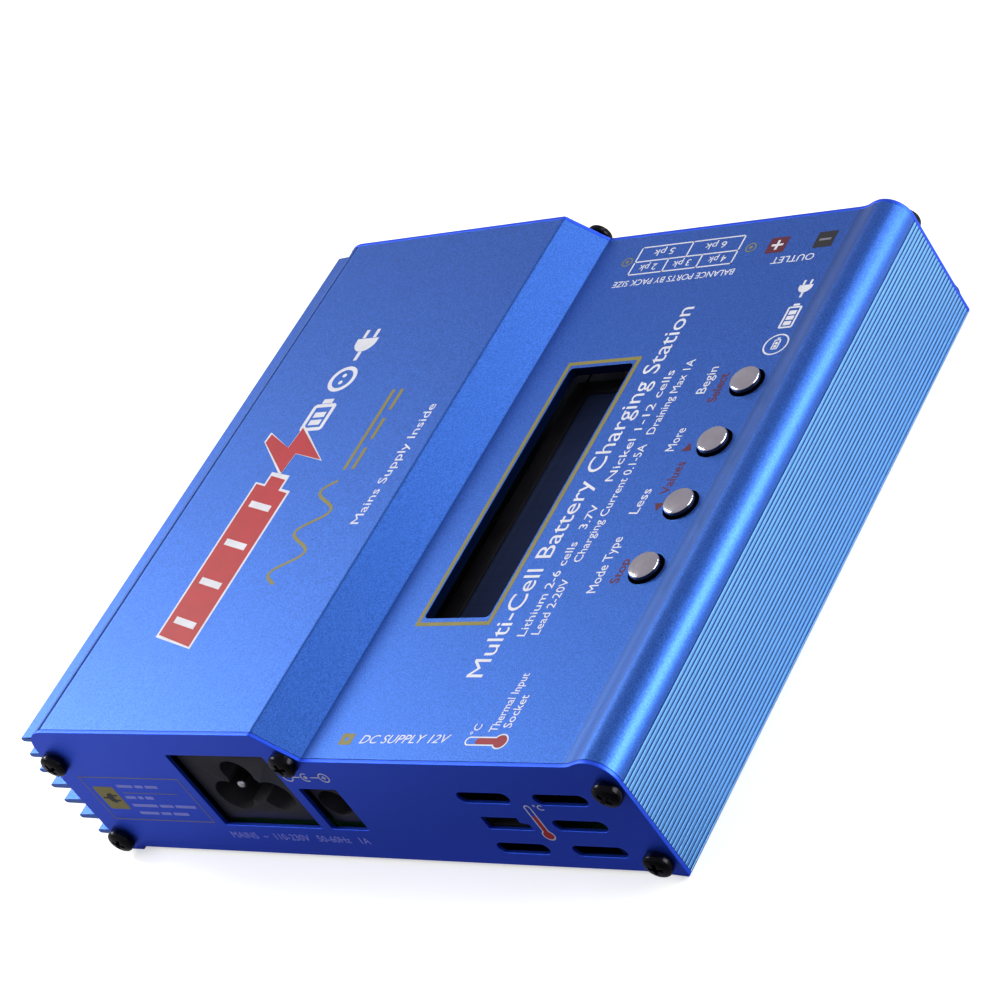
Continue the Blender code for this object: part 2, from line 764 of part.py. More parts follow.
# ---------------------------------------------------------------- sockets in the left panel

def contact_pin(name, seat, length):
    """A round contact pin with a tapered tip, pointing out of the left panel."""
    profile = [(0, length), (PIN_R - 0.5, length - 0.1), (PIN_R, length - 0.7), (PIN_R, 0), (0, 0)]
    part(turned(name, profile, seat, "-X", 14), name, "polished_nickel")


def make_mains_inlet():
    """Three-lobed appliance inlet with its earth, live and neutral pins."""
    size = (INLET_SIZE[0] - 2 * GAP, INLET_SIZE[1] - 2 * GAP)
    outline = centred((INLET_Y, INLET_Z), size, 0.6)
    body = extruded("mains_inlet", [outline], "X", INLET_FACE_X, INLET_BACK_X)
    middle = INLET_FACE_X - 1 + (LOBE_DEPTH + 1) / 2
    for name, (dy, dz, radius) in LOBES.items():
        centre = (middle, INLET_Y + dy, INLET_Z + dz)
        cut(body, cylinder("lobe_" + name, centre, "X", radius, LOBE_DEPTH + 1))
    centre = (middle, INLET_Y, INLET_Z + LOBE_MIDDLE[0])
    cut(body, cylinder("lobe_middle", centre, "X", LOBE_MIDDLE[1], LOBE_DEPTH + 1))
    part(body, "mains_inlet", "black_plastic")
    for name, (dy, dz, radius) in LOBES.items():
        seat = (INLET_FACE_X + LOBE_DEPTH - GAP, INLET_Y + dy, INLET_Z + dz)
        contact_pin("mains_pin_" + name, seat, LOBE_DEPTH - PIN_SETBACK)


def make_dc_jack():
    """Round low-voltage jack with its centre pin."""
    size = (JACK_SIZE[0] - 2 * GAP, JACK_SIZE[1] - 2 * GAP)
    outline = centred((JACK_Y, JACK_Z), size, 0.5)
    body = extruded("dc_jack", [outline], "X", INLET_FACE_X, JACK_BACK_X)
    middle = INLET_FACE_X - 1 + (JACK_DEPTH + 1) / 2
    cut(body, cylinder("jack_bore", (middle, JACK_BORE_Y, JACK_Z), "X", JACK_BORE_R, JACK_DEPTH + 1))
    part(body, "dc_jack", "black_plastic")
    seat = (INLET_FACE_X + JACK_DEPTH - GAP, JACK_BORE_Y, JACK_Z)
    contact_pin("dc_jack_pin", seat, JACK_DEPTH - PIN_SETBACK)


def make_temperature_socket():
    """Shrouded three-contact header behind the temperature port."""
    face = -HALF + PANEL + GAP
    back = face + SENSOR_SOCKET_DEPTH
    low = (face, PORT_Y[0] - 1.0, BOARD_Z + GAP)
    high = (back, PORT_Y[1] + 1.0, PORT_Z[1] + 1.0)
    play = 0.2
    hollow_back = back - SENSOR_SOCKET_WALL - GAP
    hollow = block("port_hollow", (face - 1, PORT_Y[0] + play, PORT_Z[0] + play),
                   (hollow_back, PORT_Y[1] - play, PORT_Z[1] - play))
    part(cut(block("temperature_socket", low, high), hollow), "temperature_socket", "black_plastic")


# ---------------------------------------------------------------- sockets in the right panel

def make_output_sockets():
    """Two 4 mm sockets, red and black, each an insulating bush around a brass contact tube."""
    face = HALF + GAP
    flange, depth = OUTPUT_FLANGE, OUTPUT_DEPTH
    bore = CONTACT_R + GAP
    bush = [(OUTPUT_FLANGE_R - 0.3, flange), (OUTPUT_FLANGE_R, flange - 0.3), (OUTPUT_FLANGE_R, 0),
            (OUTPUT_BODY_R, 0), (OUTPUT_BODY_R, -depth), (bore, -depth), (bore, flange - 0.3),
            (bore + 0.3, flange)]
    for name, y in OUTPUT_Y.items():
        place = (face, y, OUTPUT_Z)
        colour = "red_plastic" if name == "positive" else "black_plastic"
        part(turned("output_socket_" + name, bush, place, "X"), "output_socket_" + name, colour)
        tube = contact_tube("output_contact_" + name, place, flange - 0.6, depth)
        part(tube, "output_contact_" + name, "brass")


def contact_tube(name, place, front, depth):
    """A brass tube with a blind 4 mm bore, starting at front and ending behind the bush."""
    x = place[0]
    centre_x = x + (front - depth - 3) / 2
    outer = cylinder(name, (centre_x, place[1], place[2]), "X", CONTACT_R, front + depth + 3, 20)
    bore_end = x - depth + 1
    bore_x = (bore_end + x + front + 1) / 2
    length = x + front + 1 - bore_end
    bore = cylinder(name + "_bore", (bore_x, place[1], place[2]), "X", CONTACT_BORE_R, length, 20)
    return cut(outer, bore)


def make_balance_sockets():
    """Open-fronted white balance sockets on the upright board, for two to six cells."""
    for cells, y, bottom in cell_sockets():
        name = f"balance_socket_{cells}_cell"
        width = cell_width(cells)
        body = block(name, (CELL_BACK_X, y, bottom), (CELL_FRONT_X, y + width, bottom + CELL_H))
        w = CELL_WALL
        hollow = block(name + "_hollow", (CELL_BACK_X + CELL_BACK_WALL, y + w, bottom + w),
                       (CELL_FRONT_X + 1, y + width - w, bottom + CELL_H - w))
        part(cut(body, hollow), name, "white_plastic")


# ---------------------------------------------------------------- fan

def make_fan():
    """Small square axial fan: frame with three struts, and a rotor that spins about X."""
    x0, x1 = FAN_X
    half = FAN_SIZE / 2
    square = rectangle((FAN_Y - half, FAN_Z - half), (FAN_Y + half, FAN_Z + half), 1.2)
    frame = extruded("fan_frame", [square, circle((FAN_Y, FAN_Z), FAN_BORE_R, 28)], "X", x0, x1)
    plate = MOTOR_PLATE
    join(frame, cylinder("motor_plate", (x1 - plate / 2, FAN_Y, FAN_Z), "X", HUB_R, plate - 0.02))
    for i in range(STRUTS):
        angle = math.radians(90 + 360 * i / STRUTS)
        strut = block(f"strut_{i}", (x1 - plate + 0.1, -0.6, 2.0), (x1 - 0.1, 0.6, FAN_BORE_R + 0.5))
        turn = Matrix.Rotation(angle, 4, "X")
        strut.data.transform(Matrix.Translation(Vector((0, FAN_Y, FAN_Z)) * MM) @ turn)
        join(frame, strut)
    part(frame, "fan_frame", "black_plastic")

    depth = x1 - x0 - plate - 1.0
    centre = Vector((x0 + 0.4 + depth / 2, FAN_Y, FAN_Z))
    rotor = cylinder("fan_rotor", (0, 0, 0), "X", HUB_R, depth, 28)
    rotor.location = centre * MM
    reach, half = depth * 0.42, BLADE_THICKNESS / 2
    for i in range(BLADES):
        blade = block(f"blade_{i}", (-reach, -half, HUB_R - 0.8), (reach, half, ROTOR_R))
        pitch = Matrix.Rotation(math.radians(BLADE_PITCH), 4, "Z")
        turn = Matrix.Rotation(2 * math.pi * i / BLADES, 4, "X")
        blade.data.transform(turn @ pitch)
        blade.location = centre * MM
        join(rotor, blade)
    part(rotor, "fan_rotor", "black_plastic")


# ---------------------------------------------------------------- components on the boards

def make_transformer():
    """Rectangular core with two windows, and the coil around its middle limb."""
    x, y = TRANSFORMER_PLACE
    width, depth, height = TRANSFORMER_CORE
    z = BOARD_Z + GAP + height / 2
    rings = [centred((x, z), (width, height))]
    for side in (-1, 1):
        rings.append(centred((x + side * TRANSFORMER_LIMB, z), TRANSFORMER_WINDOW))
    core = extruded("transformer_core", rings, "Y", y - depth / 2, y + depth / 2)
    part(core, "transformer_core", "ferrite")
    loop = [centred((x, y), COIL_OUTSIDE, 1.5), centred((x, y), COIL_INSIDE)]
    coil = extruded("transformer_coil", loop, "Z", z - COIL_HALF_H, z + COIL_HALF_H)
    part(coil, "transformer_coil", "copper_winding")


def make_supply_parts():
    """Bulk capacitor with a beaded rim, filter choke and fuse."""
    top = BOARD_Z + GAP
    r, h = CAPACITOR_R, CAPACITOR_H
    profile = [(0, h), (r - 0.9, h), (r - 0.2, h - 0.4), (r, h - 1.1), (r, 3.2), (r - 0.5, 2.7), (r, 2.2),
               (r, 0), (0, 0)]
    part(turned("bulk_capacitor", profile, (*CAPACITOR_PLACE, top)), "bulk_capacitor", "capacitor_sleeve")
    choke = ring_core("filter_choke", (*CHOKE_PLACE, top + sum(CHOKE_RADII) + 0.1), "Y", *CHOKE_RADII)
    part(choke, "filter_choke", "copper_winding")
    end, cap, tube = FUSE_HALF_LENGTH, FUSE_CAP_R, FUSE_CAP_R - 0.2
    fuse = [(0, end), (cap, end), (cap, 4.5), (tube, 4.3), (tube, -4.3), (cap, -4.5), (cap, -end), (0, -end)]
    part(turned("mains_fuse", fuse, (*FUSE_PLACE, top + cap + 0.6), "Y", 16), "mains_fuse", "fuse_glass")


def make_heat_spreader():
    """Aluminium angle along the rear edge, with the power transistor against it."""
    top = BOARD_Z + GAP
    (front, back), thickness = SPREADER_Y, SPREADER_THICKNESS
    angle = [(front, top), (back, top), (back, SPREADER_TOP_Z), (back - thickness, SPREADER_TOP_Z),
             (back - thickness, top + thickness), (front, top + thickness)]
    part(extruded("heat_spreader", [angle], "X", *SPREADER_X), "heat_spreader", "bare_aluminium")
    (left, right), (near, far) = TRANSISTOR_X, TRANSISTOR_Y
    body = block("power_transistor", (left, near, top + 6), (right, far, top + 15))
    tab = block("transistor_tab", (left + 0.2, far - 1.3, top + 14), (right - 0.2, far - 0.01, top + 20))
    part(join(body, tab), "power_transistor", "black_plastic")


def make_control_parts():
    """Inductor, microcontroller and buzzer of the charging circuit."""
    top = BOARD_Z + GAP
    centre = (*INDUCTOR_PLACE, top + INDUCTOR_RADII[1] + 0.1)
    inductor = ring_core("output_inductor", centre, "Z", *INDUCTOR_RADII)
    part(inductor, "output_inductor", "copper_winding")
    chip = block("microcontroller", (CHIP_X[0], CHIP_Y[0], top), (CHIP_X[1], CHIP_Y[1], top + CHIP_H))
    part(soften(chip, 0.25, 1), "microcontroller", "black_plastic")
    can = cylinder("buzzer", (*BUZZER_PLACE, top + BUZZER_H / 2), "Z", BUZZER_R, BUZZER_H)
    port = cylinder("buzzer_port", (*BUZZER_PLACE, top + BUZZER_H), "Z", 1.2, 3.0, 12)
    part(cut(can, port), "buzzer", "black_plastic")


def main():
    global parts, cutters
    clear_scene()
    parts = new_collection("balance_battery_charger")
    cutters = new_collection("cutters")
    make_materials()
    make_top_cover()
    make_base_tray()
    make_left_panel()
    make_right_panel()
    make_screws()
    make_buttons()
    make_display()
    make_boards()
    make_mains_inlet()
    make_dc_jack()
    make_temperature_socket()
    make_output_sockets()
    make_balance_sockets()
    make_fan()
    make_transformer()
    make_supply_parts()
    make_heat_spreader()
    make_control_parts()


main()
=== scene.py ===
"""Looks of the balance battery charger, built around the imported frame.

Lengths are in millimetres, as on a drawing; MM turns them into metres when a shape is made.
"""

import json
import math

import bmesh
import bpy
from mathutils import Matrix, Vector


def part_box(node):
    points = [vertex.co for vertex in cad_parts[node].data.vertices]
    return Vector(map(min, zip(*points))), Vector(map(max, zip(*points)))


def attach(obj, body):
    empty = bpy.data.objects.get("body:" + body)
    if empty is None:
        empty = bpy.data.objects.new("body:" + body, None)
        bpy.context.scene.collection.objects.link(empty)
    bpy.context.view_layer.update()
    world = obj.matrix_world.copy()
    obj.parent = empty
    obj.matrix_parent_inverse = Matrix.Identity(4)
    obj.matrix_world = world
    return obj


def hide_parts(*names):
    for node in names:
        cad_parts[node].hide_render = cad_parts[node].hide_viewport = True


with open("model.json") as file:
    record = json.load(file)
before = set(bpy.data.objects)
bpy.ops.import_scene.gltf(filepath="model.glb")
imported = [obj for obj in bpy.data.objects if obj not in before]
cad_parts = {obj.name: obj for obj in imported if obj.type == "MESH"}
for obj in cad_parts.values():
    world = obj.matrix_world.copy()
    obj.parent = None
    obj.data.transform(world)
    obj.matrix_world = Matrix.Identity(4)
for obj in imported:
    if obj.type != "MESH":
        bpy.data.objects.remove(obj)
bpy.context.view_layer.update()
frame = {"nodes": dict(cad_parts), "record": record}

MM = 0.001
ROOT = "case"


def box_mm(node):
    """Lowest and highest corner of a CAD node, in millimetres."""
    lo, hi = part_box(node)
    return lo / MM, hi / MM


# ---------------------------- sizes, from the frame where it has them

COVER_LO, COVER_HI = box_mm("top_cover")
LEFT_LO, LEFT_HI = box_mm("left_end_panel")

HEIGHT = COVER_HI.z
FRONT_Y = COVER_LO.y
BACK_Y = box_mm("base_tray")[1].y
PANEL_BACK_Y = LEFT_HI.y
FLOOR_Z = 1.0                # underside between the feet
LEFT_X = LEFT_LO.x
RIGHT_X = box_mm("right_end_panel")[1].x
PANEL = LEFT_HI.x - LEFT_LO.x
DECK_Z = 28.8
WALL = 2.0
GAP = 0.3                    # play between the case's parts, and around what sits in them
SLOPE_TOP_Y = 4.4
SLOPE_FOOT_Y = -3.1
ROOT_Y = PANEL_BACK_Y - 0.2  # rear wall, where the fins start
CORNER = 5.8
SEAM_Y = 62.75
FRONT_SEAM_Y = -64.95
NOSE_R = 4.8
NOSE_Y = -69.6
NOSE_Z = 25.2
NOSE_START_Y = -64.3
RIB_COUNT = 26
RIB_PITCH = 0.94
RIB_TOP_Z = 24.3
RIB_DEPTH = 0.45
GROOVE = 0.12                # half width of a groove between ribs
FIN_COUNT = 7
FIN_PITCH = 4.75
FIN_TOP_Z = 32.8
FIN_LONGEST = 4
RAIL_TOP_Z = 7.1             # top of the rails that the boards stand on
RAIL_PLACES = (57.5, 8.5, 0.5)

TRAY_SCREWS = ("rear_upper", "rear_lower")
COVER_SCREWS = ("slope", "front_upper", "front_lower")
SCREW_PLACES = TRAY_SCREWS + COVER_SCREWS
BUTTONS = ("stop", "decrease", "increase", "start")
BORE_R = 1.5
BOSS_R = 2.3

WINDOW_X = -2.3
WINDOW_Y = -21.1
WINDOW_SIZE = (64.6, 15.8)
BUTTON_HOLE_R = 3.68


def centre_mm(node):
    lo, hi = box_mm(node)
    return (lo + hi) / 2


def screw_place(side, place):
    """(Y, Z) of a panel screw."""
    middle = centre_mm(f"screw_{side}_{place}")
    return middle.y, middle.z


# ---------------------------- outlines (lists of 2-D points, mm)

def arc(centre, radius, start, end, steps):
    points = []
    for i in range(steps + 1):
        angle = math.radians(start + (end - start) * i / steps)
        points.append((centre[0] + radius * math.cos(angle), centre[1] + radius * math.sin(angle)))
    return points


def sines(*degrees):
    """(sine, cosine) of each angle."""
    return [(math.sin(math.radians(d)), math.cos(math.radians(d))) for d in degrees]


def circle(centre, radius, steps=48):
    return arc(centre, radius, 0, 360, steps)[:-1]


def rectangle(lo, hi, corner=0.0):
    if corner <= 0:
        return [(lo[0], lo[1]), (hi[0], lo[1]), (hi[0], hi[1]), (lo[0], hi[1])]
    left, right, low, high = lo[0] + corner, hi[0] - corner, lo[1] + corner, hi[1] - corner
    middles = ((right, low), (right, high), (left, high), (left, low))
    return [p for i, m in enumerate(middles) for p in arc(m, corner, 90 * i - 90, 90 * i, 6)]


def centred(centre, size, corner=0.0):
    lo = (centre[0] - size[0] / 2, centre[1] - size[1] / 2)
    hi = (centre[0] + size[0] / 2, centre[1] + size[1] / 2)
    return rectangle(lo, hi, corner)


def slot(centre, length, width):
    reach = (length - width) / 2
    right = arc((centre[0] + reach, centre[1]), width / 2, -90, 90, 14)
    left = arc((centre[0] - reach, centre[1]), width / 2, 90, 270, 14)
    return right + left


def rounded(points, radii, steps=5):
    """The open outline with each inner corner i turned into an arc of radius radii.get(i)."""
    made = []
    for i, point in enumerate(points):
        radius = radii.get(i, 0)
        if not radius or i in (0, len(points) - 1):
            made.append(point)
            continue
        here = Vector(point)
        a = (Vector(points[i - 1]) - here).normalized()
        b = (Vector(points[i + 1]) - here).normalized()
        half = a.angle(b) / 2
        reach = radius / math.tan(half)
        centre = here + (a + b).normalized() * (radius / math.sin(half))
        start, end = here + a * reach - centre, here + b * reach - centre
        turn = start.angle_signed(end)
        for k in range(steps + 1):
            spun = start.copy()
            spun.rotate(Matrix.Rotation(-turn * k / steps, 2))
            made.append(tuple(centre + spun))
    return made


def inset(points, distance):
    """The open outline moved sideways to its left by distance, with mitred corners."""
    moved = []
    for i, point in enumerate(points):
        here = Vector(point)
        before = here - Vector(points[i - 1]) if i > 0 else None
        after = Vector(points[i + 1]) - here if i < len(points) - 1 else None
        before = (before or after).normalized()
        after = (after or before).normalized()
        left_a = Vector((-before.y, before.x))
        left_b = Vector((-after.y, after.x))
        middle = (left_a + left_b).normalized()
        moved.append(tuple(here + middle * (distance / max(0.3, middle.dot(left_a)))))
    return moved


def nose():
    """Rounded edge from the deck to the ribbed face: a small hollow, a crest, then a quarter round."""
    hollow = [(NOSE_START_Y + 0.8, DECK_Z), (NOSE_START_Y, DECK_Z + 0.02), (-65.2, 28.86), (-66.1, 29.06),
              (-67.0, 29.4), (-67.9, 29.74), (-68.8, 29.95)]
    return hollow + arc((NOSE_Y, NOSE_Z), NOSE_R, 90, 180, 20)


def case_top():
    """The case's upper line from the raised rear edge, over slope and deck, to the front face."""
    slope = [(SLOPE_TOP_Y + 6, HEIGHT), (SLOPE_TOP_Y, HEIGHT),
             (SLOPE_FOOT_Y, DECK_Z), (SLOPE_FOOT_Y - 6, DECK_Z)]
    return rounded(slope, {1: 0.9, 2: 0.35}) + nose()


def ribs():
    """Flat ridges with narrow, steep grooves between them, from top to bottom."""
    points = []
    wall = [(GROOVE + 0.09, 0.0), (GROOVE + 0.04, 0.03), (GROOVE, 0.1), (GROOVE - 0.04, RIB_DEPTH)]
    for i in range(RIB_COUNT):
        z = RIB_TOP_Z - i * RIB_PITCH
        points += [(FRONT_Y + depth, z + rise) for rise, depth in wall]
        points += [(FRONT_Y + depth, z - rise) for rise, depth in reversed(wall)]
    return points


def rear_corner_y(z):
    rise = max(0.0, z - (HEIGHT - CORNER))
    return ROOT_Y - CORNER + math.sqrt(CORNER ** 2 - rise ** 2)


def front_foot():
    seam = FRONT_SEAM_Y - GAP / 2
    return [(FRONT_Y, 0.5), (FRONT_Y + 0.1, 0.2), (FRONT_Y + 0.35, 0.02), (seam, FLOOR_Z)]


def rear_foot(back):
    """From the underside over the rear foot to the lowest part of an outline's back."""
    step, near, far = 61.2, 61.9, 66.6
    corners = [(step, FLOOR_Z), (near, 0.0), (far, 0.0), (back, 0.9), (back, 2.5)]
    return rounded([(step - 3.2, FLOOR_Z)] + corners, {1: 0.4, 2: 0.4, 3: 0.5, 4: 0.3}, 3)[1:]


def cover_outline():
    seam = SEAM_Y - GAP / 2
    rear = [(seam, HEIGHT - 0.42), (seam - 0.3, HEIGHT - 0.1), (ROOT_Y - CORNER, HEIGHT)]
    foot = front_foot()
    skin = [(seam, HEIGHT), rear[-1], (SLOPE_TOP_Y, HEIGHT), (SLOPE_FOOT_Y, DECK_Z), (NOSE_START_Y, DECK_Z)]
    skin += arc((NOSE_Y, NOSE_Z), NOSE_R - 0.2, 90, 180, 8) + [(FRONT_Y, 0.0), foot[-1]]
    inner = inset(skin, WALL)
    return rear + case_top() + ribs() + foot + inner[::-1]


def fin(z, tip):
    """One tapered cooling fin with a rounded tip and a small fillet at each root, traced upwards."""
    root, end, fillet = 0.72, 0.55, 0.5
    sides = []
    for sign in (-1, 1):
        rise = z + sign * root
        wall = rear_corner_y(rise)
        far = rise + sign * fillet
        sides.append([(rear_corner_y(far), far), (wall + 0.12, rise + sign * 0.15), (wall + fillet, rise)])
    low, high = sides
    return low + arc((tip - end, z), end, -90, 90, 8) + high[::-1]


def fin_tip(z):
    centre = FIN_TOP_Z - FIN_LONGEST * FIN_PITCH
    spread = 90.0 if z > centre else 45.0
    return BACK_Y - (z - centre) ** 2 / spread


def rail(y):
    floor, half = FLOOR_Z + WALL, 1.0
    near, far = y - half, y + half
    return [(far, floor), (far, RAIL_TOP_Z), (near, RAIL_TOP_Z), (near, floor)]


def tray_outline():
    floor = FLOOR_Z + WALL
    wall_y = ROOT_Y - 2.4
    seam = SEAM_Y + GAP / 2
    points = [(FRONT_SEAM_Y + GAP / 2, FLOOR_Z)] + rear_foot(ROOT_Y)
    for i in reversed(range(FIN_COUNT)):
        z = FIN_TOP_Z - i * FIN_PITCH
        points += fin(z, fin_tip(z))
    start = math.degrees(math.asin((FIN_TOP_Z + 1.5 - HEIGHT + CORNER) / CORNER))
    end = math.degrees(math.acos((seam + 0.3 - ROOT_Y + CORNER) / CORNER))
    points += arc((ROOT_Y - CORNER, HEIGHT - CORNER), CORNER, start, end, 10)
    points.append((seam, HEIGHT - 0.45))
    ledge_y, ledge_top = 59.5, HEIGHT - WALL - GAP
    ledge_low = ledge_top - 1.6
    points += [(seam, ledge_top), (ledge_y, ledge_top), (ledge_y, ledge_low), (wall_y - 2.0, ledge_low)]
    points += [(wall_y, 30.0), (wall_y, floor)]
    for y in RAIL_PLACES:
        points += rail(y)
    back, front, tongue, low, high = -62.3, -64.5, FRONT_SEAM_Y - 2.6, 3.3, 4.8
    points += [(back, floor), (back, RAIL_TOP_Z), (front, RAIL_TOP_Z), (front, high)]
    points += [(tongue, high), (tongue, low), (FRONT_SEAM_Y + GAP / 2, low)]
    return points


def panel_outline():
    points = front_foot() + rear_foot(PANEL_BACK_Y)
    points += arc((PANEL_BACK_Y - CORNER, HEIGHT - CORNER), CORNER, 0, 90, 12)
    return points + case_top()


# ---------------------------- solids

def link(thing):
    bpy.context.scene.collection.objects.link(thing)
    return thing


def evaluated_mesh(thing):
    """The mesh that an object's curve settings or modifiers make."""
    bpy.context.view_layer.update()
    return bpy.data.meshes.new_from_object(thing.evaluated_get(bpy.context.evaluated_depsgraph_get()))


def finished(thing):
    """The object with its modifiers applied and its place moved into its mesh."""
    mesh = evaluated_mesh(thing)
    mesh.transform(thing.matrix_world)
    name = thing.name
    bpy.data.objects.remove(thing)
    mesh.name = name
    return link(bpy.data.objects.new(name, mesh))


def weld(mesh, distance=1e-7):
    work = bmesh.new()
    work.from_mesh(mesh)
    bmesh.ops.remove_doubles(work, verts=work.verts, dist=distance)
    bmesh.ops.dissolve_degenerate(work, dist=distance, edges=work.edges)
    bmesh.ops.recalc_face_normals(work, faces=work.faces)
    work.to_mesh(mesh)
    work.free()


AXIS_TURN = {
    "X": Matrix(((0, 0, 1), (1, 0, 0), (0, 1, 0))).to_4x4(),
    "Y": Matrix(((1, 0, 0), (0, 0, -1), (0, 1, 0))).to_4x4(),
    "Z": Matrix.Identity(4),
}


def flat_curve(name, outlines, scale=1.0):
    """A filled 2-D curve: the first outline is the outside, the others are holes."""
    curve = bpy.data.curves.new(name, "CURVE")
    curve.dimensions = "2D"
    curve.fill_mode = "BOTH"
    for points in outlines:
        line = curve.splines.new("POLY")
        line.points.add(len(points) - 1)
        for target, point in zip(line.points, points):
            target.co = (point[0] * scale, point[1] * scale, 0.0, 1.0)
        line.use_cyclic_u = True
    return curve


def extruded(name, outlines, axis, lo, hi, edge=0.0):
    """Outlines pushed along an axis, with their edges rounded by edge."""
    curve = flat_curve(name, outlines, MM)
    curve.extrude = ((hi - lo) / 2 - edge) * MM
    if edge:
        curve.bevel_depth = edge * MM
        curve.bevel_resolution = 2
        curve.offset = -edge * MM
    thing = link(bpy.data.objects.new(name, curve))
    shift = {"X": (1, 0, 0), "Y": (0, 1, 0), "Z": (0, 0, 1)}[axis]
    thing.matrix_world = Matrix.Translation(Vector(shift) * ((lo + hi) / 2 * MM)) @ AXIS_TURN[axis]
    made = finished(thing)
    bpy.data.curves.remove(curve)
    weld(made.data)
    return made


def solid(name, work, matrix=Matrix()):
    """An object made from a bmesh, which is freed."""
    mesh = bpy.data.meshes.new(name)
    work.to_mesh(mesh)
    work.free()
    mesh.transform(matrix)
    return link(bpy.data.objects.new(name, mesh))


def block(name, lo, hi):
    work = bmesh.new()
    bmesh.ops.create_cube(work, size=1.0)
    bmesh.ops.scale(work, vec=[(b - a) * MM for a, b in zip(lo, hi)], verts=work.verts)
    bmesh.ops.translate(work, vec=[(a + b) / 2 * MM for a, b in zip(lo, hi)], verts=work.verts)
    return solid(name, work)


def cylinder(name, centre, axis, radius, length, segments=64):
    work = bmesh.new()
    bmesh.ops.create_cone(work, cap_ends=True, segments=segments, radius1=radius * MM, radius2=radius * MM,
                          depth=length * MM)
    return solid(name, work, Matrix.Translation(Vector(centre) * MM) @ AXIS_TURN[axis])


def turned(name, profile, place, axis="Z", sign=1, segments=64):
    """A turned solid: profile is (radius, height) pairs from top to bottom, height along sign * axis."""
    work = bmesh.new()
    angles = [2 * math.pi * k / segments for k in range(segments)]
    rings = []
    for radius, height in profile:
        spots = [(radius * math.cos(a) * MM, radius * math.sin(a) * MM, height * MM) for a in angles]
        rings.append([work.verts.new(spot) for spot in (spots if radius else spots[:1])])
    closed = len(rings[0]) > 1
    pairs = list(zip(rings, rings[1:])) + ([(rings[-1], rings[0])] if closed else [])
    for upper, lower in pairs:
        for k in range(segments):
            n = (k + 1) % segments
            corners = [upper[k % len(upper)], lower[k % len(lower)]]
            corners += [lower[n % len(lower)], upper[n % len(upper)]]
            unique = [v for i, v in enumerate(corners) if v not in corners[:i]]
            if len(unique) > 2:
                work.faces.new(unique)
    bmesh.ops.recalc_face_normals(work, faces=work.faces)
    flip = Matrix() if sign > 0 else Matrix.Rotation(math.pi, 4, "X")
    return solid(name, work, Matrix.Translation(Vector(place) * MM) @ AXIS_TURN[axis] @ flip)


def boolean(target, tools, operation):
    """Applies Boolean steps to target and removes the tools."""
    for tool in tools:
        step = target.modifiers.new(operation, "BOOLEAN")
        step.operation = operation
        step.solver = "EXACT"
        step.object = tool
    made = finished(target)
    for tool in tools:
        bpy.data.objects.remove(tool)
    return made


def cut(target, *tools):
    return boolean(target, tools, "DIFFERENCE")


def fuse(target, *tools):
    return boolean(target, tools, "UNION")


def smooth(thing, angle=35):
    thing.data.shade_smooth()
    thing.data.set_sharp_from_angle(angle=math.radians(angle))


def smooth_case(thing, angle):
    """Smooths a part of the case; its large flat faces stay flat where they meet small curved ones."""
    smooth(thing, angle)
    step = thing.modifiers.new("weighted", "WEIGHTED_NORMAL")
    step.keep_sharp = True
    step.weight = 80


def soften(thing, width):
    """Rounds the edges of a solid that are sharper than 50 degrees."""
    step = thing.modifiers.new("bevel", "BEVEL")
    step.width = width * MM
    step.segments = 2
    step.limit_method = "ANGLE"
    step.angle_limit = math.radians(50)
    step.use_clamp_overlap = True
    return finished(thing)


def joined(name, things):
    """Several finished meshes as one piece."""
    work = bmesh.new()
    for thing in things:
        work.from_mesh(thing.data)
        bpy.data.objects.remove(thing)
    return solid(name, work)


def piece(thing, name, slot_name, stands_for=(), body=ROOT, looks=()):
    """Names a finished piece, gives it its looks (its slot's by default) and lets it ride on its body."""
    thing.name = name
    thing.data.name = name
    thing.data.materials.clear()
    for look in looks or (LOOKS[slot_name],):
        thing.data.materials.append(look)
    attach(thing, body)
    if stands_for:
        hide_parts(*stands_for)
    return thing



# ---------------------------- materials

def new_material(name):
    made = bpy.data.materials.new(name)
    made.use_nodes = True
    return made, made.node_tree, made.node_tree.nodes["Principled BSDF"]


def feed(tree, node, values):
    """Sets inputs of a node, by name or number, to numbers, colours or the outputs of other nodes."""
    for key, value in values.items():
        socket = node.inputs[key]
        if isinstance(value, bpy.types.NodeSocket):
            tree.links.new(value, socket)
        elif socket.type == "RGBA":
            socket.default_value = (*value, 1.0)
        else:
            socket.default_value = value


def add(tree, kind, values, **settings):
    node = tree.nodes.new("ShaderNode" + kind)
    for key, value in settings.items():
        setattr(node, key, value)
    feed(tree, node, values)
    return node


def coordinates(tree, scale=(1.0, 1.0, 1.0)):
    """Object coordinates in millimetres, times scale."""
    source = add(tree, "TexCoord", {}).outputs["Object"]
    return add(tree, "Mapping", {"Vector": source, "Scale": [s / MM for s in scale]}).outputs["Vector"]


def noise(tree, vector, size, detail=2.0, roughness=0.5):
    """Noise whose features are about size millimetres across."""
    values = {"Vector": vector, "Scale": 1.0 / size, "Detail": detail, "Roughness": roughness}
    return add(tree, "TexNoise", values).outputs["Fac"]


def ramp(tree, value, low, high, from_low=0.3, from_high=0.7):
    """value between from_low and from_high mapped to low..high."""
    limits = {"From Min": from_low, "From Max": from_high, "To Min": low, "To Max": high}
    return add(tree, "MapRange", {"Value": value, **limits}).outputs["Result"]


def blend_colours(tree, share, a, b):
    """Mixes two colours by share, a number or a socket."""
    return add(tree, "Mix", {0: share, 6: a, 7: b}, data_type="RGBA").outputs[2]


def maths(tree, operation, a, b):
    return add(tree, "Math", {0: a, 1: b}, operation=operation).outputs[0]


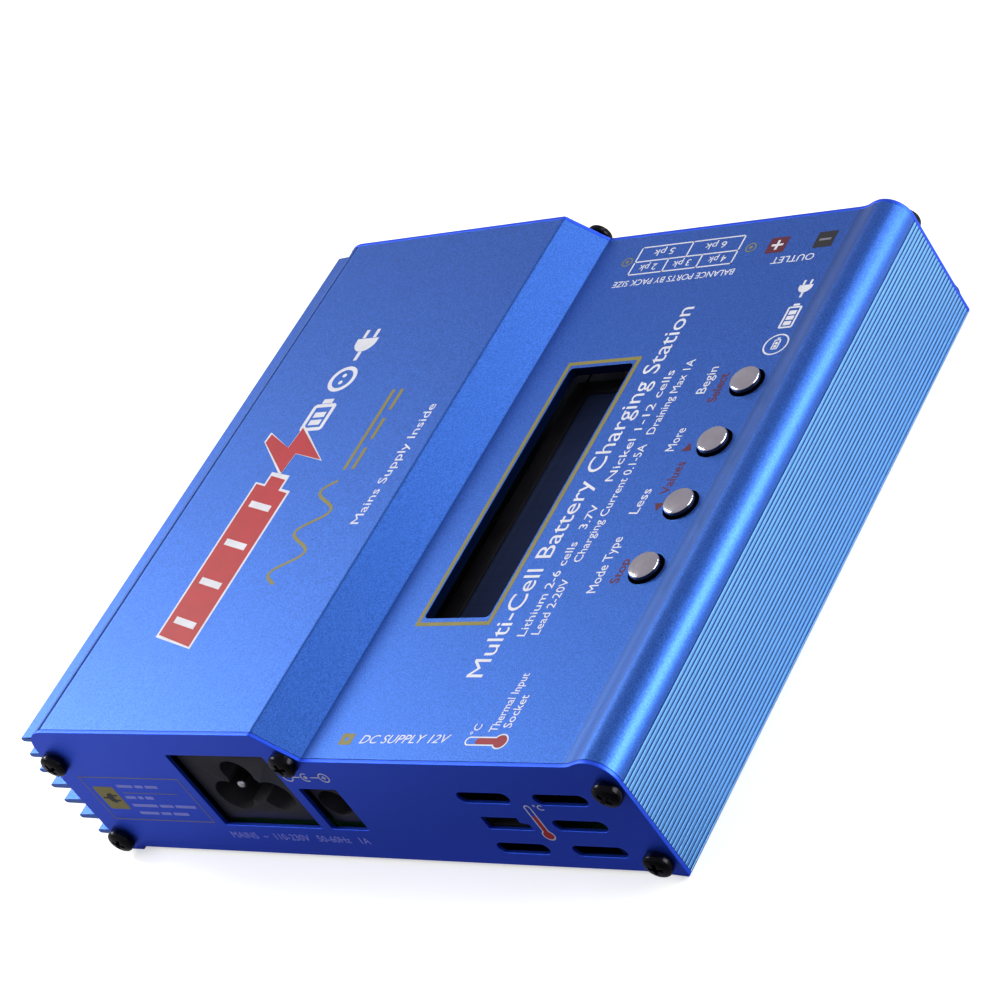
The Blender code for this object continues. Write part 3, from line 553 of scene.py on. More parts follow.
def bump(tree, shader, height, depth, strength=1.0):
    """Bump of depth millimetres from a height of 0..1."""
    node = add(tree, "Bump", {"Height": height, "Distance": depth * MM, "Strength": strength})
    feed(tree, shader, {"Normal": node.outputs["Normal"]})


def uneven(tree, cloud, colour, variation, lift=0.0):
    """A colour that drifts slowly between a darker and a lighter tone."""
    darker = [c * (1 - variation) for c in colour]
    lighter = [min(1.0, c * (1 + variation) + lift) for c in colour]
    return blend_colours(tree, ramp(tree, cloud, 0.0, 1.0), darker, lighter)


def anodised(name, base, dark, light, roughness=0.42, coat=0.45):
    """Sand-blasted and dyed aluminium: satin metal with a fine speckle and a slow drift in tone."""
    made, tree, shader = new_material(name)
    place = coordinates(tree)
    grain_size, drift_size = 0.26, 26.0
    grain = noise(tree, place, grain_size, 3.0, 0.7)
    drift = noise(tree, place, drift_size)
    speckle = blend_colours(tree, ramp(tree, grain, 0.0, 1.0, 0.36, 0.64), dark, light)
    feed(tree, shader, {
        "Base Color": blend_colours(tree, ramp(tree, drift, 0.1, 0.3), speckle, base),
        "Roughness": ramp(tree, grain, roughness - 0.05, roughness + 0.07),
        "Metallic": 1.0, "Coat Weight": coat, "Coat Roughness": 0.4})
    bump(tree, shader, grain, 0.016, 0.7)
    return made


def plastic(name, colour, roughness, grain=0.35, depth=0.01, variation=0.25, coat=0.0):
    """Moulded plastic with a fine eroded texture, slightly uneven in gloss."""
    made, tree, shader = new_material(name)
    place = coordinates(tree)
    fine = noise(tree, place, grain, 3.0, 0.6)
    cloud = noise(tree, place, 7.0, 3.0)
    gloss = ramp(tree, fine, roughness - 0.04, roughness + 0.05)
    feed(tree, shader, {
        "Base Color": uneven(tree, cloud, colour, variation, 0.004),
        "Roughness": maths(tree, "ADD", ramp(tree, cloud, -0.05, 0.06), gloss), "Coat Weight": coat})
    bump(tree, shader, fine, depth, 0.7)
    return made


def metal(name, colour, roughness, brushed=(1.0, 1.0, 1.0), grain=0.3, variation=0.12):
    """Bare or plated metal; brushed stretches the marks along an axis."""
    made, tree, shader = new_material(name)
    fine = noise(tree, coordinates(tree, brushed), grain, 4.0, 0.65)
    cloud = noise(tree, coordinates(tree), 3.0, 3.0)
    gloss = ramp(tree, fine, roughness * 0.8, roughness * 1.3)
    feed(tree, shader, {
        "Base Color": uneven(tree, cloud, colour, variation),
        "Roughness": maths(tree, "ADD", ramp(tree, cloud, -0.04, 0.05), gloss), "Metallic": 1.0})
    bump(tree, shader, fine, 0.003, 0.5)
    return made


def ink(name, colour):
    """Screen-printed ink: nearly opaque, with pinholes and a slightly uneven film."""
    made, tree, shader = new_material(name)
    place = coordinates(tree)
    fine = noise(tree, place, 0.12, 3.0, 0.7)
    cloud = noise(tree, place, 4.0, 3.0)
    film = blend_colours(tree, ramp(tree, cloud, 0.0, 1.0), [c * 0.86 for c in colour], colour)
    pinholes = ramp(tree, fine, 1.0, 0.0, 0.22, 0.36)
    feed(tree, shader, {
        "Base Color": blend_colours(tree, pinholes, film, [c * 0.6 for c in colour]),
        "Roughness": ramp(tree, fine, 0.39, 0.53)})
    bump(tree, shader, fine, 0.008, 0.5)
    return made


def wound(name, colour):
    """Lacquered copper wire, turn beside turn, with painted shade between the turns."""
    made, tree, shader = new_material(name)
    pitch = 0.55
    values = {"Vector": coordinates(tree), "Scale": 1.0 / pitch / 3.0, "Distortion": 0.6}
    turns = add(tree, "TexWave", values, wave_profile="SIN").outputs["Fac"]
    # Painted shade: the colour falls to about a third in the valleys between the turns.
    feed(tree, shader, {
        "Base Color": blend_colours(tree, turns, [c * 0.35 for c in colour], colour),
        "Roughness": ramp(tree, turns, 0.5, 0.28, 0.0, 1.0), "Metallic": 0.7})
    bump(tree, shader, turns, 0.15)
    return made


def board(name):
    """Circuit board: green mask over copper tracks, with a faint weave."""
    made, tree, shader = new_material(name)
    place = coordinates(tree)
    tracks = add(tree, "TexBrick", {
        "Vector": place, "Scale": 0.35, "Mortar Size": 0.06, "Mortar Smooth": 0.3,
        "Color1": (0.003, 0.032, 0.013), "Color2": (0.004, 0.042, 0.017), "Mortar": (0.009, 0.075, 0.03)})
    weave = noise(tree, place, 0.4)
    share = ramp(tree, weave, 0.0, 0.5)
    feed(tree, shader, {
        "Base Color": blend_colours(tree, share, tracks.outputs["Color"], (0.006, 0.055, 0.022)),
        "Roughness": ramp(tree, weave, 0.3, 0.45)})
    bump(tree, shader, tracks.outputs["Fac"], 0.03)
    return made


def glass(name):
    """Polariser of the character display: dark blue-grey, glossy, with a faint grid of character cells."""
    made, tree, shader = new_material(name)
    place = coordinates(tree)
    cells = add(tree, "TexBrick", {
        "Vector": place, "Scale": 0.5, "Mortar Size": 0.05, "Brick Width": 1.75, "Row Height": 2.9,
        "Color1": (0.038, 0.058, 0.135), "Color2": (0.038, 0.058, 0.135),
        "Mortar": (0.033, 0.051, 0.120)}, offset=0.0)
    haze = noise(tree, place, 9.0)
    share = ramp(tree, haze, 0.0, 0.4)
    feed(tree, shader, {
        "Base Color": blend_colours(tree, share, cells.outputs["Color"], (0.048, 0.070, 0.155)),
        "Roughness": ramp(tree, haze, 0.06, 0.14), "Coat Weight": 0.5, "Coat Roughness": 0.05})
    return made


# Each anodised look has a base colour, then the dark and the light end of its speckle.
BLUE = anodised("blue_anodised", (0.031, 0.153, 0.62), (0.012, 0.085, 0.43), (0.058, 0.222, 0.81))
# Painted shade: a darker copy of the blue for the walls and floors of the grooves between the ribs.
BLUE_GROOVE_SHADE = anodised("blue_anodised_groove", (0.010, 0.090, 0.44), (0.008, 0.075, 0.38),
                       (0.012, 0.105, 0.50))
# Painted highlight: a lighter copy of the blue for the flat tops of the ribs.
BLUE_RIDGE_HIGHLIGHT = anodised("blue_anodised_ridge", (0.200, 0.530, 1.00), (0.180, 0.480, 0.98),
                      (0.220, 0.580, 1.00))
# Painted shade: a darker, greyer copy of the blue for the shallow hollow before the nose.
BLUE_HOLLOW_SHADE = anodised("blue_anodised_hollow", (0.032, 0.118, 0.43), (0.022, 0.088, 0.34),
                       (0.044, 0.150, 0.53))
# Painted shade: a near-black copy of the blue for the faces inside the case.
BLUE_INSIDE_SHADE = anodised("blue_anodised_inside", (0.002, 0.008, 0.040), (0.001, 0.005, 0.028),
                       (0.003, 0.011, 0.052), 0.6, 0.0)
BLUE_PANEL = anodised("blue_anodised_panel", (0.030, 0.118, 0.92), (0.028, 0.109, 0.88),
                      (0.033, 0.127, 0.96), 0.46, 0.2)
# Painted shade: a darker copy of the nickel for the steep sides of the button caps.
NICKEL_SKIRT_SHADE = metal("nickel_skirt", (0.085, 0.082, 0.090), 0.2, grain=0.5, variation=0.05)

LOOKS = {
    "blue_anodised": BLUE,
    "black_screw": metal("black_screw", (0.016, 0.016, 0.018), 0.2, grain=0.4, variation=0.3),
    "polished_nickel": metal("polished_nickel", (0.66, 0.64, 0.65), 0.15, grain=0.5, variation=0.05),
    "black_plastic": plastic("black_plastic", (0.005, 0.005, 0.008), 0.55, variation=0.1),
    "white_plastic": plastic("white_plastic", (0.74, 0.71, 0.64), 0.45, variation=0.05),
    "red_plastic": plastic("red_plastic", (0.50, 0.010, 0.014), 0.3, variation=0.12, coat=0.3),
    "green_board": board("green_board"),
    "display_glass": glass("display_glass"),
    "backlight": plastic("backlight", (0.55, 0.62, 0.72), 0.4, variation=0.05),
    "brass": metal("brass", (0.75, 0.53, 0.22), 0.24, brushed=(1, 6, 6), grain=0.8),
    "ferrite": plastic("ferrite", (0.03, 0.03, 0.032), 0.62, grain=0.5, depth=0.03),
    "copper_winding": wound("copper_winding", (0.62, 0.24, 0.06)),
    "capacitor_sleeve": plastic("capacitor_sleeve", (0.012, 0.018, 0.05), 0.28, variation=0.2, coat=0.4),
    "bare_aluminium": metal("bare_aluminium", (0.62, 0.63, 0.65), 0.34, brushed=(1, 1, 8), grain=0.6),
    "fuse_glass": plastic("fuse_glass", (0.62, 0.66, 0.64), 0.12, variation=0.08, coat=0.6),
    "insulation": plastic("insulation", (0.62, 0.50, 0.28), 0.42, grain=1.2, variation=0.15),
}

for subpart in frame["record"]["subparts"]:
    node = frame["nodes"][subpart["node"]]
    node.data.materials.clear()
    node.data.materials.append(LOOKS[subpart["material_slot"]])


# ---------------------------- case

SEAM = 0.05                  # width of the dark line between extrusion and end panel
HALF_VISIBLE = -LEFT_X - PANEL - SEAM
HALF_BOSS = HALF_VISIBLE - 0.02   # a little short of the extrusion's ends, so that no faces coincide


def soften_rims(thing, level, width, region):
    """Small chamfers on the upper rims of openings in a flat face at height level."""
    (x0, y0), (x1, y1) = region
    work = bmesh.new()
    work.from_mesh(thing.data)
    rims = []
    for edge in work.edges:
        spots = [v.co / MM for v in edge.verts]
        inside = all(abs(p.z - level) < 0.01 and x0 < p.x < x1 and y0 < p.y < y1 for p in spots)
        if inside and len(edge.link_faces) == 2:
            ups = sorted(abs(face.normal.z) for face in edge.link_faces)
            if ups[0] < 0.5 < ups[1]:
                rims.append(edge)
    bmesh.ops.bevel(work, geom=rims, offset=width * MM, segments=2, profile=0.5, affect="EDGES",
                    clamp_overlap=True)
    work.to_mesh(thing.data)
    work.free()


def shell(name, outline, places):
    """An extrusion of the case with thickened, drilled channels for the panel screws at places."""
    drill_length, drill_middle = 13, HALF_VISIBLE - 4.5   # 11 mm deep
    bosses, drills = [], []
    for place in places:
        y, z = screw_place("left", place)
        bosses.append(cylinder("boss", (0, y, z), "X", BOSS_R, 2 * HALF_BOSS, 32))
        for side in (-1, 1):
            drills.append(cylinder("drill", (side * drill_middle, y, z), "X", BORE_R, drill_length, 24))
    made = extruded(name, [outline], "X", -HALF_VISIBLE, HALF_VISIBLE)
    return cut(fuse(made, *bosses), *drills)


def inside_case(point):
    """Whether a point, in millimetres, is behind the outer skin of the extrusions."""
    ceiling = HEIGHT if point.y > SLOPE_TOP_Y else DECK_Z
    return FRONT_Y + 1.2 < point.y < ROOT_Y - 1.0 and FLOOR_Z + 0.4 < point.z < ceiling - 0.6


def make_cover():
    cover = shell("top_cover_shell", cover_outline(), COVER_SCREWS)
    window = centred((WINDOW_X, WINDOW_Y), WINDOW_SIZE, 1.0)
    tools = [extruded("window_tool", [window], "Z", DECK_Z - WALL - 2, DECK_Z + 2)]
    for name in BUTTONS:
        middle = centre_mm("button_" + name)
        place = (middle.x, middle.y, DECK_Z - WALL / 2)
        tools.append(cylinder("hole_tool", place, "Z", BUTTON_HOLE_R, WALL + 2))
    cover = cut(cover, *tools)
    weld(cover.data, 1e-6)
    soften_rims(cover, DECK_Z, 0.22, ((-60, -64), (60, -6)))
    smooth_case(cover, 38)
    piece(cover, "top_cover_shell", "blue_anodised", ("top_cover",),
          looks=(BLUE, BLUE_GROOVE_SHADE, BLUE_RIDGE_HIGHLIGHT, BLUE_HOLLOW_SHADE, BLUE_INSIDE_SHADE))
    groove, ridge, hollow, inside = 1, 2, 3, 4
    hollow_front, hollow_back = -68.5, -64.4
    for face in cover.data.polygons:
        middle = face.center / MM
        depth = middle.y - FRONT_Y
        # Painted shade on the groove faces, painted highlight on the flat ridge tops.
        if 0.2 < middle.z < RIB_TOP_Z + 0.5 and depth < 1.0:
            face.material_index = groove if depth > 0.05 else ridge
        # Painted shade on the upward faces of the hollow before the nose.
        if middle.z > DECK_Z and hollow_front < middle.y < hollow_back and face.normal.z > 0.5:
            face.material_index = hollow
        # Painted shade on the faces inside the case.
        if inside_case(middle):
            face.material_index = inside


def make_tray():
    tray = shell("base_tray_shell", tray_outline(), TRAY_SCREWS)
    weld(tray.data, 1e-6)
    smooth_case(tray, 38)
    piece(tray, "base_tray_shell", "blue_anodised", ("base_tray",), looks=(BLUE, BLUE_INSIDE_SHADE))
    # Painted shade: faces inside the case get the near-black blue.
    for face in tray.data.polygons:
        if inside_case(face.center / MM):
            face.material_index = 1


# ---------------------------- end panels

EDGE = 0.1                   # deburred edge of the punched panels
VENT_Y = (-41.1, -58.4)
VENT_Z = (5.85, 12.85, 19.8)
VENT_SIZE = (11.9, 2.9)
PORT_Y = (-47.0, -36.8)      # temperature port, with a step along its top
PORT_Z = (11.15, 14.5)
PORT_STEP = (1.9, 1.7)
RIGHT_VENT_Y = (22.0, 39.0)
RIGHT_VENT_Z = (12.0, 19.0, 26.0)
OUTPUT_HOLE_R = 4.1
OUTPUTS = {"positive": "red_plastic", "negative": "black_plastic"}
CELL_ROWS = ((6, 5), (4, 3, 2))


def opening_for(first, last, corner):
    """Outline, seen along X, of the opening for one node or for a row of nodes."""
    lo, hi = box_mm(first)[0], box_mm(last)[1]
    return rectangle((lo.y - GAP, lo.z - GAP), (hi.y + GAP, hi.z + GAP), corner)


def port_outline():
    (near, far), (low, high) = PORT_Y, PORT_Z
    step_y, step_z = PORT_STEP
    return [(near, low), (far, low), (far, high), (near + step_y, high), (near + step_y, high - step_z + 0.4),
            (near, high - step_z)]


def vent_row(places, heights):
    return [slot((y, z), *VENT_SIZE) for y in places for z in heights]


def make_panel(side, holes, lo, hi):
    holes = [circle(screw_place(side, place), BORE_R, 24) for place in SCREW_PLACES] + holes
    panel = extruded(side + "_panel", [panel_outline()] + holes, "X", lo, hi, EDGE)
    smooth_case(panel, 40)
    piece(panel, side + "_panel_plate", "blue_anodised", (side + "_end_panel",), looks=(BLUE_PANEL,))


def make_left_panel():
    holes = [opening_for(node, node, 0.35) for node in ("mains_inlet", "dc_jack")] + [port_outline()]
    holes += vent_row(VENT_Y[1:], VENT_Z) + vent_row(VENT_Y[:1], (VENT_Z[0], VENT_Z[2]))
    make_panel("left", holes, LEFT_X, LEFT_X + PANEL)


def make_right_panel():
    nodes = [[f"balance_socket_{cells}_cell" for cells in row] for row in CELL_ROWS]
    holes = [opening_for(row[0], row[-1], 0.3) for row in nodes]
    for name in OUTPUTS:
        middle = centre_mm("output_socket_" + name)
        holes.append(circle((middle.y, middle.z), OUTPUT_HOLE_R, 48))
    holes += vent_row(RIGHT_VENT_Y, RIGHT_VENT_Z)
    make_panel("right", holes, RIGHT_X - PANEL, RIGHT_X)


# ---------------------------- screws and buttons

def screw_mesh():
    """Pan-head screw with a cross recess, head up along +Z, its seat at the origin."""
    radius, height, shoulder, crown_power = 2.8, 1.95, 0.85, 0.75
    shank, length, turns, pitch = 1.2, 8.0, 9, 0.7
    profile = [(0, height)]
    profile += [(radius * s, shoulder + (height - shoulder) * c ** crown_power)
                for s, c in sines(12, 24, 36, 48, 60, 70, 80)]
    profile += [(radius, shoulder), (radius, 0.08), (radius - 0.1, 0), (shank, 0), (shank, -0.4)]
    for i in range(turns):
        z = -0.6 - i * pitch
        profile += [(shank, z), (shank - 0.25, z - pitch / 2)]
    profile += [(shank - 0.2, -length + 0.8), (0, -length)]
    head = turned("screw", profile, (0, 0, 0), segments=36)
    wide, slim, deep = 1.95, 0.46, 1.3
    arms = []
    for turn in (20, 110):
        arm = block("arm", (-wide, -slim, height - deep), (wide, slim, height + 1))
        for vertex in arm.data.vertices:
            if vertex.co.z < height * MM:
                vertex.co.x *= 0.5
                vertex.co.y *= 0.75
        arm.data.transform(Matrix.Rotation(math.radians(turn), 4, "Z"))
        arms.append(arm)
    head = soften(cut(head, *arms), 0.1)
    smooth(head)
    mesh = head.data
    bpy.data.objects.remove(head)
    mesh.materials.append(LOOKS["black_screw"])
    return mesh


def make_screws():
    """Ten copies of one screw, each turned in its hole by its own angle."""
    mesh = screw_mesh()
    for index, side in enumerate(("left", "right")):
        sign = 1 if side == "right" else -1
        for number, place in enumerate(SCREW_PLACES):
            y, z = screw_place(side, place)
            name = f"screw_{side}_{place}"
            thing = link(bpy.data.objects.new(name + "_visible", mesh))
            lean = Matrix.Rotation(math.radians(37 * number + 61 * index), 4, "Z")
            face = Matrix.Rotation(math.radians(90 * sign), 4, "Y")
            spot = Vector(((RIGHT_X + GAP) * sign, y, z)) * MM
            thing.matrix_world = Matrix.Translation(spot) @ face @ lean
            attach(thing, ROOT)
            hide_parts(name)


def make_buttons():
    """Polished caps with a crowned top and a rounded rim; the skirt and other steep faces get painted shade,
    a darker nickel.
    """
    sag, rim_r, rim_fall, skirt, stem = 0.10, 0.42, 0.56, 5.2, 1.7
    for name in BUTTONS:
        lo, hi = box_mm("button_" + name)
        middle, radius, low = (lo + hi) / 2, (hi.x - lo.x) / 2, lo.z - hi.z
        profile = [(radius * s, -sag * s * s) for s in (0.0, 0.25, 0.5, 0.7)]
        profile += [(radius - rim_r + rim_r * s, -rim_fall + rim_r * c)
                    for s, c in sines(5, 20, 40, 60, 75, 90)]
        profile += [(radius, -skirt + 0.2), (radius - 0.2, -skirt), (stem, -skirt), (stem, low + 0.1),
                    (stem - 0.1, low), (0, low)]
        cap = turned("cap", profile, (middle.x, middle.y, hi.z), segments=72)
        smooth(cap, 45)
        piece(cap, "button_cap_" + name, "polished_nickel", ("button_" + name,), "button_" + name,
              (LOOKS["polished_nickel"], NICKEL_SKIRT_SHADE))
        # Painted shade on the faces that do not look upwards.
        for face in cap.data.polygons:
            if face.normal.z < 0.3:
                face.material_index = 1


# ---------------------------- sockets in the left panel

def make_housing(node, cutter, edge):
    """A moulded socket body around a node's box, hollowed by a cutter."""
    lo, hi = box_mm(node)
    body = extruded(node, [rectangle((lo.y, lo.z), (hi.y, hi.z), 0.5)], "X", lo.x, hi.x, 0.15)
    body = soften(cut(body, cutter), edge)
    smooth(body, 40)
    piece(body, node + "_body", "black_plastic", (node,))


def make_inlet():
    """Inlet with a clover-shaped recess: a lobe around each pin, and one between them."""
    lo, hi = box_mm("mains_inlet")
    lobe_length = 13.0
    lobe_x = lo.x - 1 + lobe_length / 2
    lobes = []
    for name, radius in (("earth", 3.7), ("live", 4.1), ("neutral", 4.1)):
        pin = centre_mm("mains_pin_" + name)
        lobes.append(cylinder("lobe", (lobe_x, pin.y, pin.z), "X", radius, lobe_length, 40))
    middle = (lo + hi) / 2
    lobes.append(cylinder("lobe", (lobe_x, middle.y, middle.z - 0.4), "X", 4.2, lobe_length, 40))
    make_housing("mains_inlet", fuse(lobes[0], *lobes[1:]), 0.22)
    for name in ("earth", "live", "neutral"):
        make_pin("mains_pin_" + name)


def make_pin(node):
    """Round contact pin with a rounded nose, pointing towards -X."""
    lo, hi = box_mm(node)
    length, radius = hi.x - lo.x, (hi.y - lo.y) / 2
    profile = [(radius * s, length - radius * 0.7 * (1 - c)) for s, c in sines(0, 20, 40, 60, 75, 90)]
    place = (hi.x, (lo.y + hi.y) / 2, (lo.z + hi.z) / 2)
    pin = turned(node + "_tip", profile + [(radius, 0), (0, 0)], place, "X", -1, 32)
    smooth(pin, 40)
    piece(pin, node + "_tip", "polished_nickel", (node,))


def make_jack():
    bore_r, bore_length = 3.45, 10.0
    pin = centre_mm("dc_jack_pin")
    bore_x = box_mm("dc_jack")[0].x - 1 + bore_length / 2
    make_housing("dc_jack", cylinder("jack_bore", (bore_x, pin.y, pin.z), "X", bore_r, bore_length, 48), 0.2)
    make_pin("dc_jack_pin")


# ---------------------------- display

def make_display():
    lo, hi = box_mm("display_bezel")
    middle = (WINDOW_X, WINDOW_Y)
    bezel = extruded("bezel", [centred(middle, (71.2, 24.2), 0.8)], "Z", lo.z, hi.z)
    hollow = extruded("hollow", [centred(middle, (69.0, 22.0))], "Z", lo.z - 1, hi.z - 0.5)
    window = extruded("window", [centred(middle, (64.6, 16.2), 0.6)], "Z", lo.z, hi.z + 2)
    bezel = soften(cut(bezel, hollow, window), 0.12)
    smooth(bezel)
    piece(bezel, "display_bezel_frame", "black_plastic", ("display_bezel",))
    lo, hi = box_mm("display_glass")
    pane = extruded("pane", [centred(middle, (hi.x - lo.x, hi.y - lo.y), 0.4)], "Z", lo.z, hi.z, 0.1)
    smooth(pane)
    piece(pane, "display_glass_pane", "display_glass", ("display_glass",))


# ---------------------------- sockets in the right panel

def make_balance_socket(cells):
    """White shroud with two key slots, on a row of pins."""
    node = f"balance_socket_{cells}_cell"
    lo, hi = box_mm(node)
    middle = (lo + hi) / 2
    wall, pin_pitch, half_pin = 0.75, 2.5, 0.32
    cutters = [block("hollow", (lo.x + 1.2, lo.y + wall, lo.z + wall), (hi.x + 1, hi.y - wall, hi.z - wall))]
    for side in (-1, 1):
        y = middle.y + side * (hi.y - lo.y) * 0.28
        cutters.append(block("key", (hi.x - 4.2, y - 0.6, hi.z - wall - 0.1), (hi.x + 1, y + 0.6, hi.z + 1)))
    body = soften(cut(block(node, lo, hi), *cutters), 0.14)
    smooth(body)
    piece(body, node + "_shroud", "white_plastic", (node,))
    pins = []
    for i in range(cells + 1):
        y = middle.y + (i - cells / 2) * pin_pitch
        pins.append(block("pin", (lo.x + 0.9, y - half_pin, middle.z - half_pin),
                          (hi.x - 1.6, y + half_pin, middle.z + half_pin)))
    pins = soften(joined("pins", pins), 0.14)
    smooth(pins)
    piece(pins, f"balance_pins_{cells}_cell", "brass")


def make_output_socket(name, slot_name):
    """Banana socket: a glossy bush and a brass tube."""
    lo, hi = box_mm("output_socket_" + name)
    y, z, radius = (lo.y + hi.y) / 2, (lo.z + hi.z) / 2, (hi.y - lo.y) / 2
    base = RIGHT_X + GAP
    flange, deep, body_r, bore, lip = hi.x - base, lo.x - base, 3.8, 3.0, 0.35
    profile = [(radius - lip + lip * s, flange - lip + lip * c) for s, c in sines(0, 22, 45, 67, 90)]
    profile += [(radius, 0), (body_r, 0), (body_r, deep), (bore, deep), (bore, flange - 0.4),
                (bore + 0.15, flange - 0.1), (bore + 0.4, flange)]
    bush = turned("bush", profile, (base, y, z), "X", 1, 64)
    smooth(bush, 40)
    piece(bush, "output_bush_" + name, slot_name, ("output_socket_" + name,))
    lo, hi = box_mm("output_contact_" + name)
    outer, inner, front, back = (hi.y - lo.y) / 2, 2.05, hi.x - base, lo.x - base
    profile = [(0, back), (outer, back), (outer, front - 0.12), (outer - 0.12, front), (inner + 0.2, front),
               (inner, front - 0.25), (inner, back + 3), (0, back + 3)]
    tube = turned("tube", profile, (base, y, z), "X", 1, 48)
    smooth(tube, 40)
    piece(tube, "output_tube_" + name, "brass", ("output_contact_" + name,))


make_cover()
make_tray()
make_left_panel()
make_right_panel()
make_screws()
make_buttons()
make_inlet()
make_jack()
make_display()
for cell_row in CELL_ROWS:
    for cell_count in cell_row:
        make_balance_socket(cell_count)
for output_name, output_slot in OUTPUTS.items():
    make_output_socket(output_name, output_slot)


# ---------------------------- prints

INK = 0.03                   # height of the ink film
SINK = 0.006                 # how deep the film reaches into the metal
CAPITAL = 0.73               # height of a capital of size 1
INK_COLOURS = {
    "white": (0.78, 0.80, 0.84),
    "red": (0.48, 0.012, 0.022),
    "dark_red": (0.11, 0.005, 0.022),
    "crimson": (0.31, 0.008, 0.022),
    "gold": (0.25, 0.225, 0.04),
    "black": (0.01, 0.01, 0.012),
    "grey": (0.20, 0.20, 0.24),
    "steel": (0.28, 0.33, 0.95),
    "yellow": (0.28, 0.25, 0.06),
}
INKS = {name: ink("ink_" + name, colour) for name, colour in INK_COLOURS.items()}
prints = {}                  # (face, colour) -> meshes


class Face:
    """A printed face, with its reading and upward directions; x or z says where it lies."""

    def __init__(self, name, along, up, x=None, z=None):
        self.name, self.along, self.up, self.x, self.z = name, Vector(along), Vector(up), x, z

    def point(self, at):
        """A point of the face, from X and Y on a level face or from Y and Z on an end panel."""
        return Vector((*at, self.z)) if self.x is None else Vector((self.x, *at))

    def place(self, at, lean, height):
        """Matrix that lays a flat drawing of a height on the face at a point, turned by lean degrees."""
        turn = Matrix((self.along, self.up, self.along.cross(self.up))).transposed().to_4x4()
        lift = Matrix.Translation((0, 0, height / 2 - SINK))
        lean = Matrix.Rotation(math.radians(lean), 4, "Z")
        return Matrix.Scale(MM, 4) @ Matrix.Translation(self.point(at)) @ turn @ lean @ lift


DECK = Face("deck", (1, 0, 0), (0, 1, 0), z=DECK_Z)
TABLE = Face("deck", (0, 1, 0), (-1, 0, 0), z=DECK_Z)
SIDEWAYS = Face("deck", (0, -1, 0), (1, 0, 0), z=DECK_Z)
TOP = Face("top", (1, 0, 0), (0, 1, 0), z=HEIGHT)
LEFT = Face("left", (0, -1, 0), (0, 0, 1), x=LEFT_X)
RIGHT = Face("right", (0, 1, 0), (0, 0, 1), x=RIGHT_X)


def curve_mesh(curve):
    """The mesh of a curve, which is removed."""
    thing = link(bpy.data.objects.new("print", curve))
    mesh = evaluated_mesh(thing)
    bpy.data.objects.remove(thing)
    bpy.data.curves.remove(curve)
    return mesh


def keep(face, colour, mesh, at, lean, height):
    mesh.transform(face.place(at, lean, height))
    prints.setdefault((face.name, colour), []).append(mesh)


def drawn(face, colour, at, outlines, lean=0.0, height=INK):
    """Filled outlines (mm, around 0, 0) printed at a point of a face."""
    curve = flat_curve("print", outlines)
    curve.extrude = height / 2
    keep(face, colour, curve_mesh(curve), at, lean, height)


def lettering(face, colour, start, end, height, words, weight=0.0, slant=0.0):
    """Plain words stretched between two points of a face, with capitals of a height in millimetres."""
    curve = bpy.data.curves.new("words", "FONT")
    curve.body = words
    curve.size = height / CAPITAL
    curve.extrude = INK / 2
    curve.offset = weight
    curve.resolution_u = 3
    probe = link(bpy.data.objects.new("probe", curve))
    bpy.context.view_layer.update()
    width = probe.dimensions.x
    bpy.data.objects.remove(probe)
    span = face.point(end) - face.point(start)
    mesh = curve_mesh(curve)
    mesh.transform(Matrix.Diagonal((span.length / width, 1, 1, 1)))
    if slant:
        for vertex in mesh.vertices:
            vertex.co.x += slant * vertex.co.y
    lean = math.degrees(math.atan2(span.dot(face.up), span.dot(face.along)))
    keep(face, colour, mesh, start, lean, INK)


# Symbols are lists of outlines around (0, 0), in millimetres.

def frame_lines(lo, hi, width, corner=0.0):
    lo_in, hi_in = (lo[0] + width, lo[1] + width), (hi[0] - width, hi[1] - width)
    return [rectangle(lo, hi, corner), rectangle(lo_in, hi_in, max(0.0, corner - width))]


def ring(radius, width):
    return [circle((0, 0), radius + width / 2, 32), circle((0, 0), radius - width / 2, 32)]


def target():
    return ring(1.15, 0.25) + [circle((0, 0), 0.4, 16)]


def battery(width, height, line, bars, gap):
    """An outlined cell with a cap and charge bars."""
    half = width / 2
    shapes = frame_lines((-half, -height / 2), (half, height / 2), line, line)
    shapes.append(rectangle((half + 0.15, -height * 0.22), (half + 0.15 + line * 1.3, height * 0.22), 0.1))
    rise = height / 2 - line - gap
    pitch = (width - 2 * line - 2 * gap) / bars
    for i in range(bars):
        x = -half + line + gap + i * pitch
        shapes.append(rectangle((x, -rise), (x + pitch - gap, rise), 0.05))
    return shapes


def plug(size):
    """Two-pin plug, its cord to the left."""
    s = size / 2
    body = arc((0, 0), s * 0.8, 90, 270, 14) + [(s * 0.25, -s * 0.8), (s * 0.25, s * 0.8)]
    cord = rectangle((-s * 1.5, -s * 0.13), (-s * 0.82, s * 0.13))
    pins = [rectangle((s * 0.3, y - s * 0.12), (s * 0.95, y + s * 0.12)) for y in (-s * 0.4, s * 0.4)]
    return [body, cord] + pins


def sine(length, rise, waves, width):
    """A line of even width along a sine wave."""
    count = int(16 * waves)
    points = [(length * (i / count - 0.5), rise * math.sin(2 * math.pi * waves * i / count))
              for i in range(count + 1)]
    return [inset(points, width / 2) + inset(points, -width / 2)[::-1]]


def direct_current(length, width):
    """Solid line above three dashes."""
    shapes = [rectangle((-length / 2, width * 0.8), (length / 2, width * 1.8))]
    dash = length / 3.8
    for i in range(3):
        x = -length / 2 + i * (length - dash) / 2
        shapes.append(rectangle((x, -width * 1.8), (x + dash, -width * 0.8)))
    return shapes


def flask(top, half, radius):
    """Outline of a round bulb of a radius with a tube of half a width reaching up to top."""
    neck = math.degrees(math.asin(half / radius))
    return arc((0, top - half), half, 0, 180, 12) + arc((0, 0), radius, 90 + neck, 450 - neck, 28)


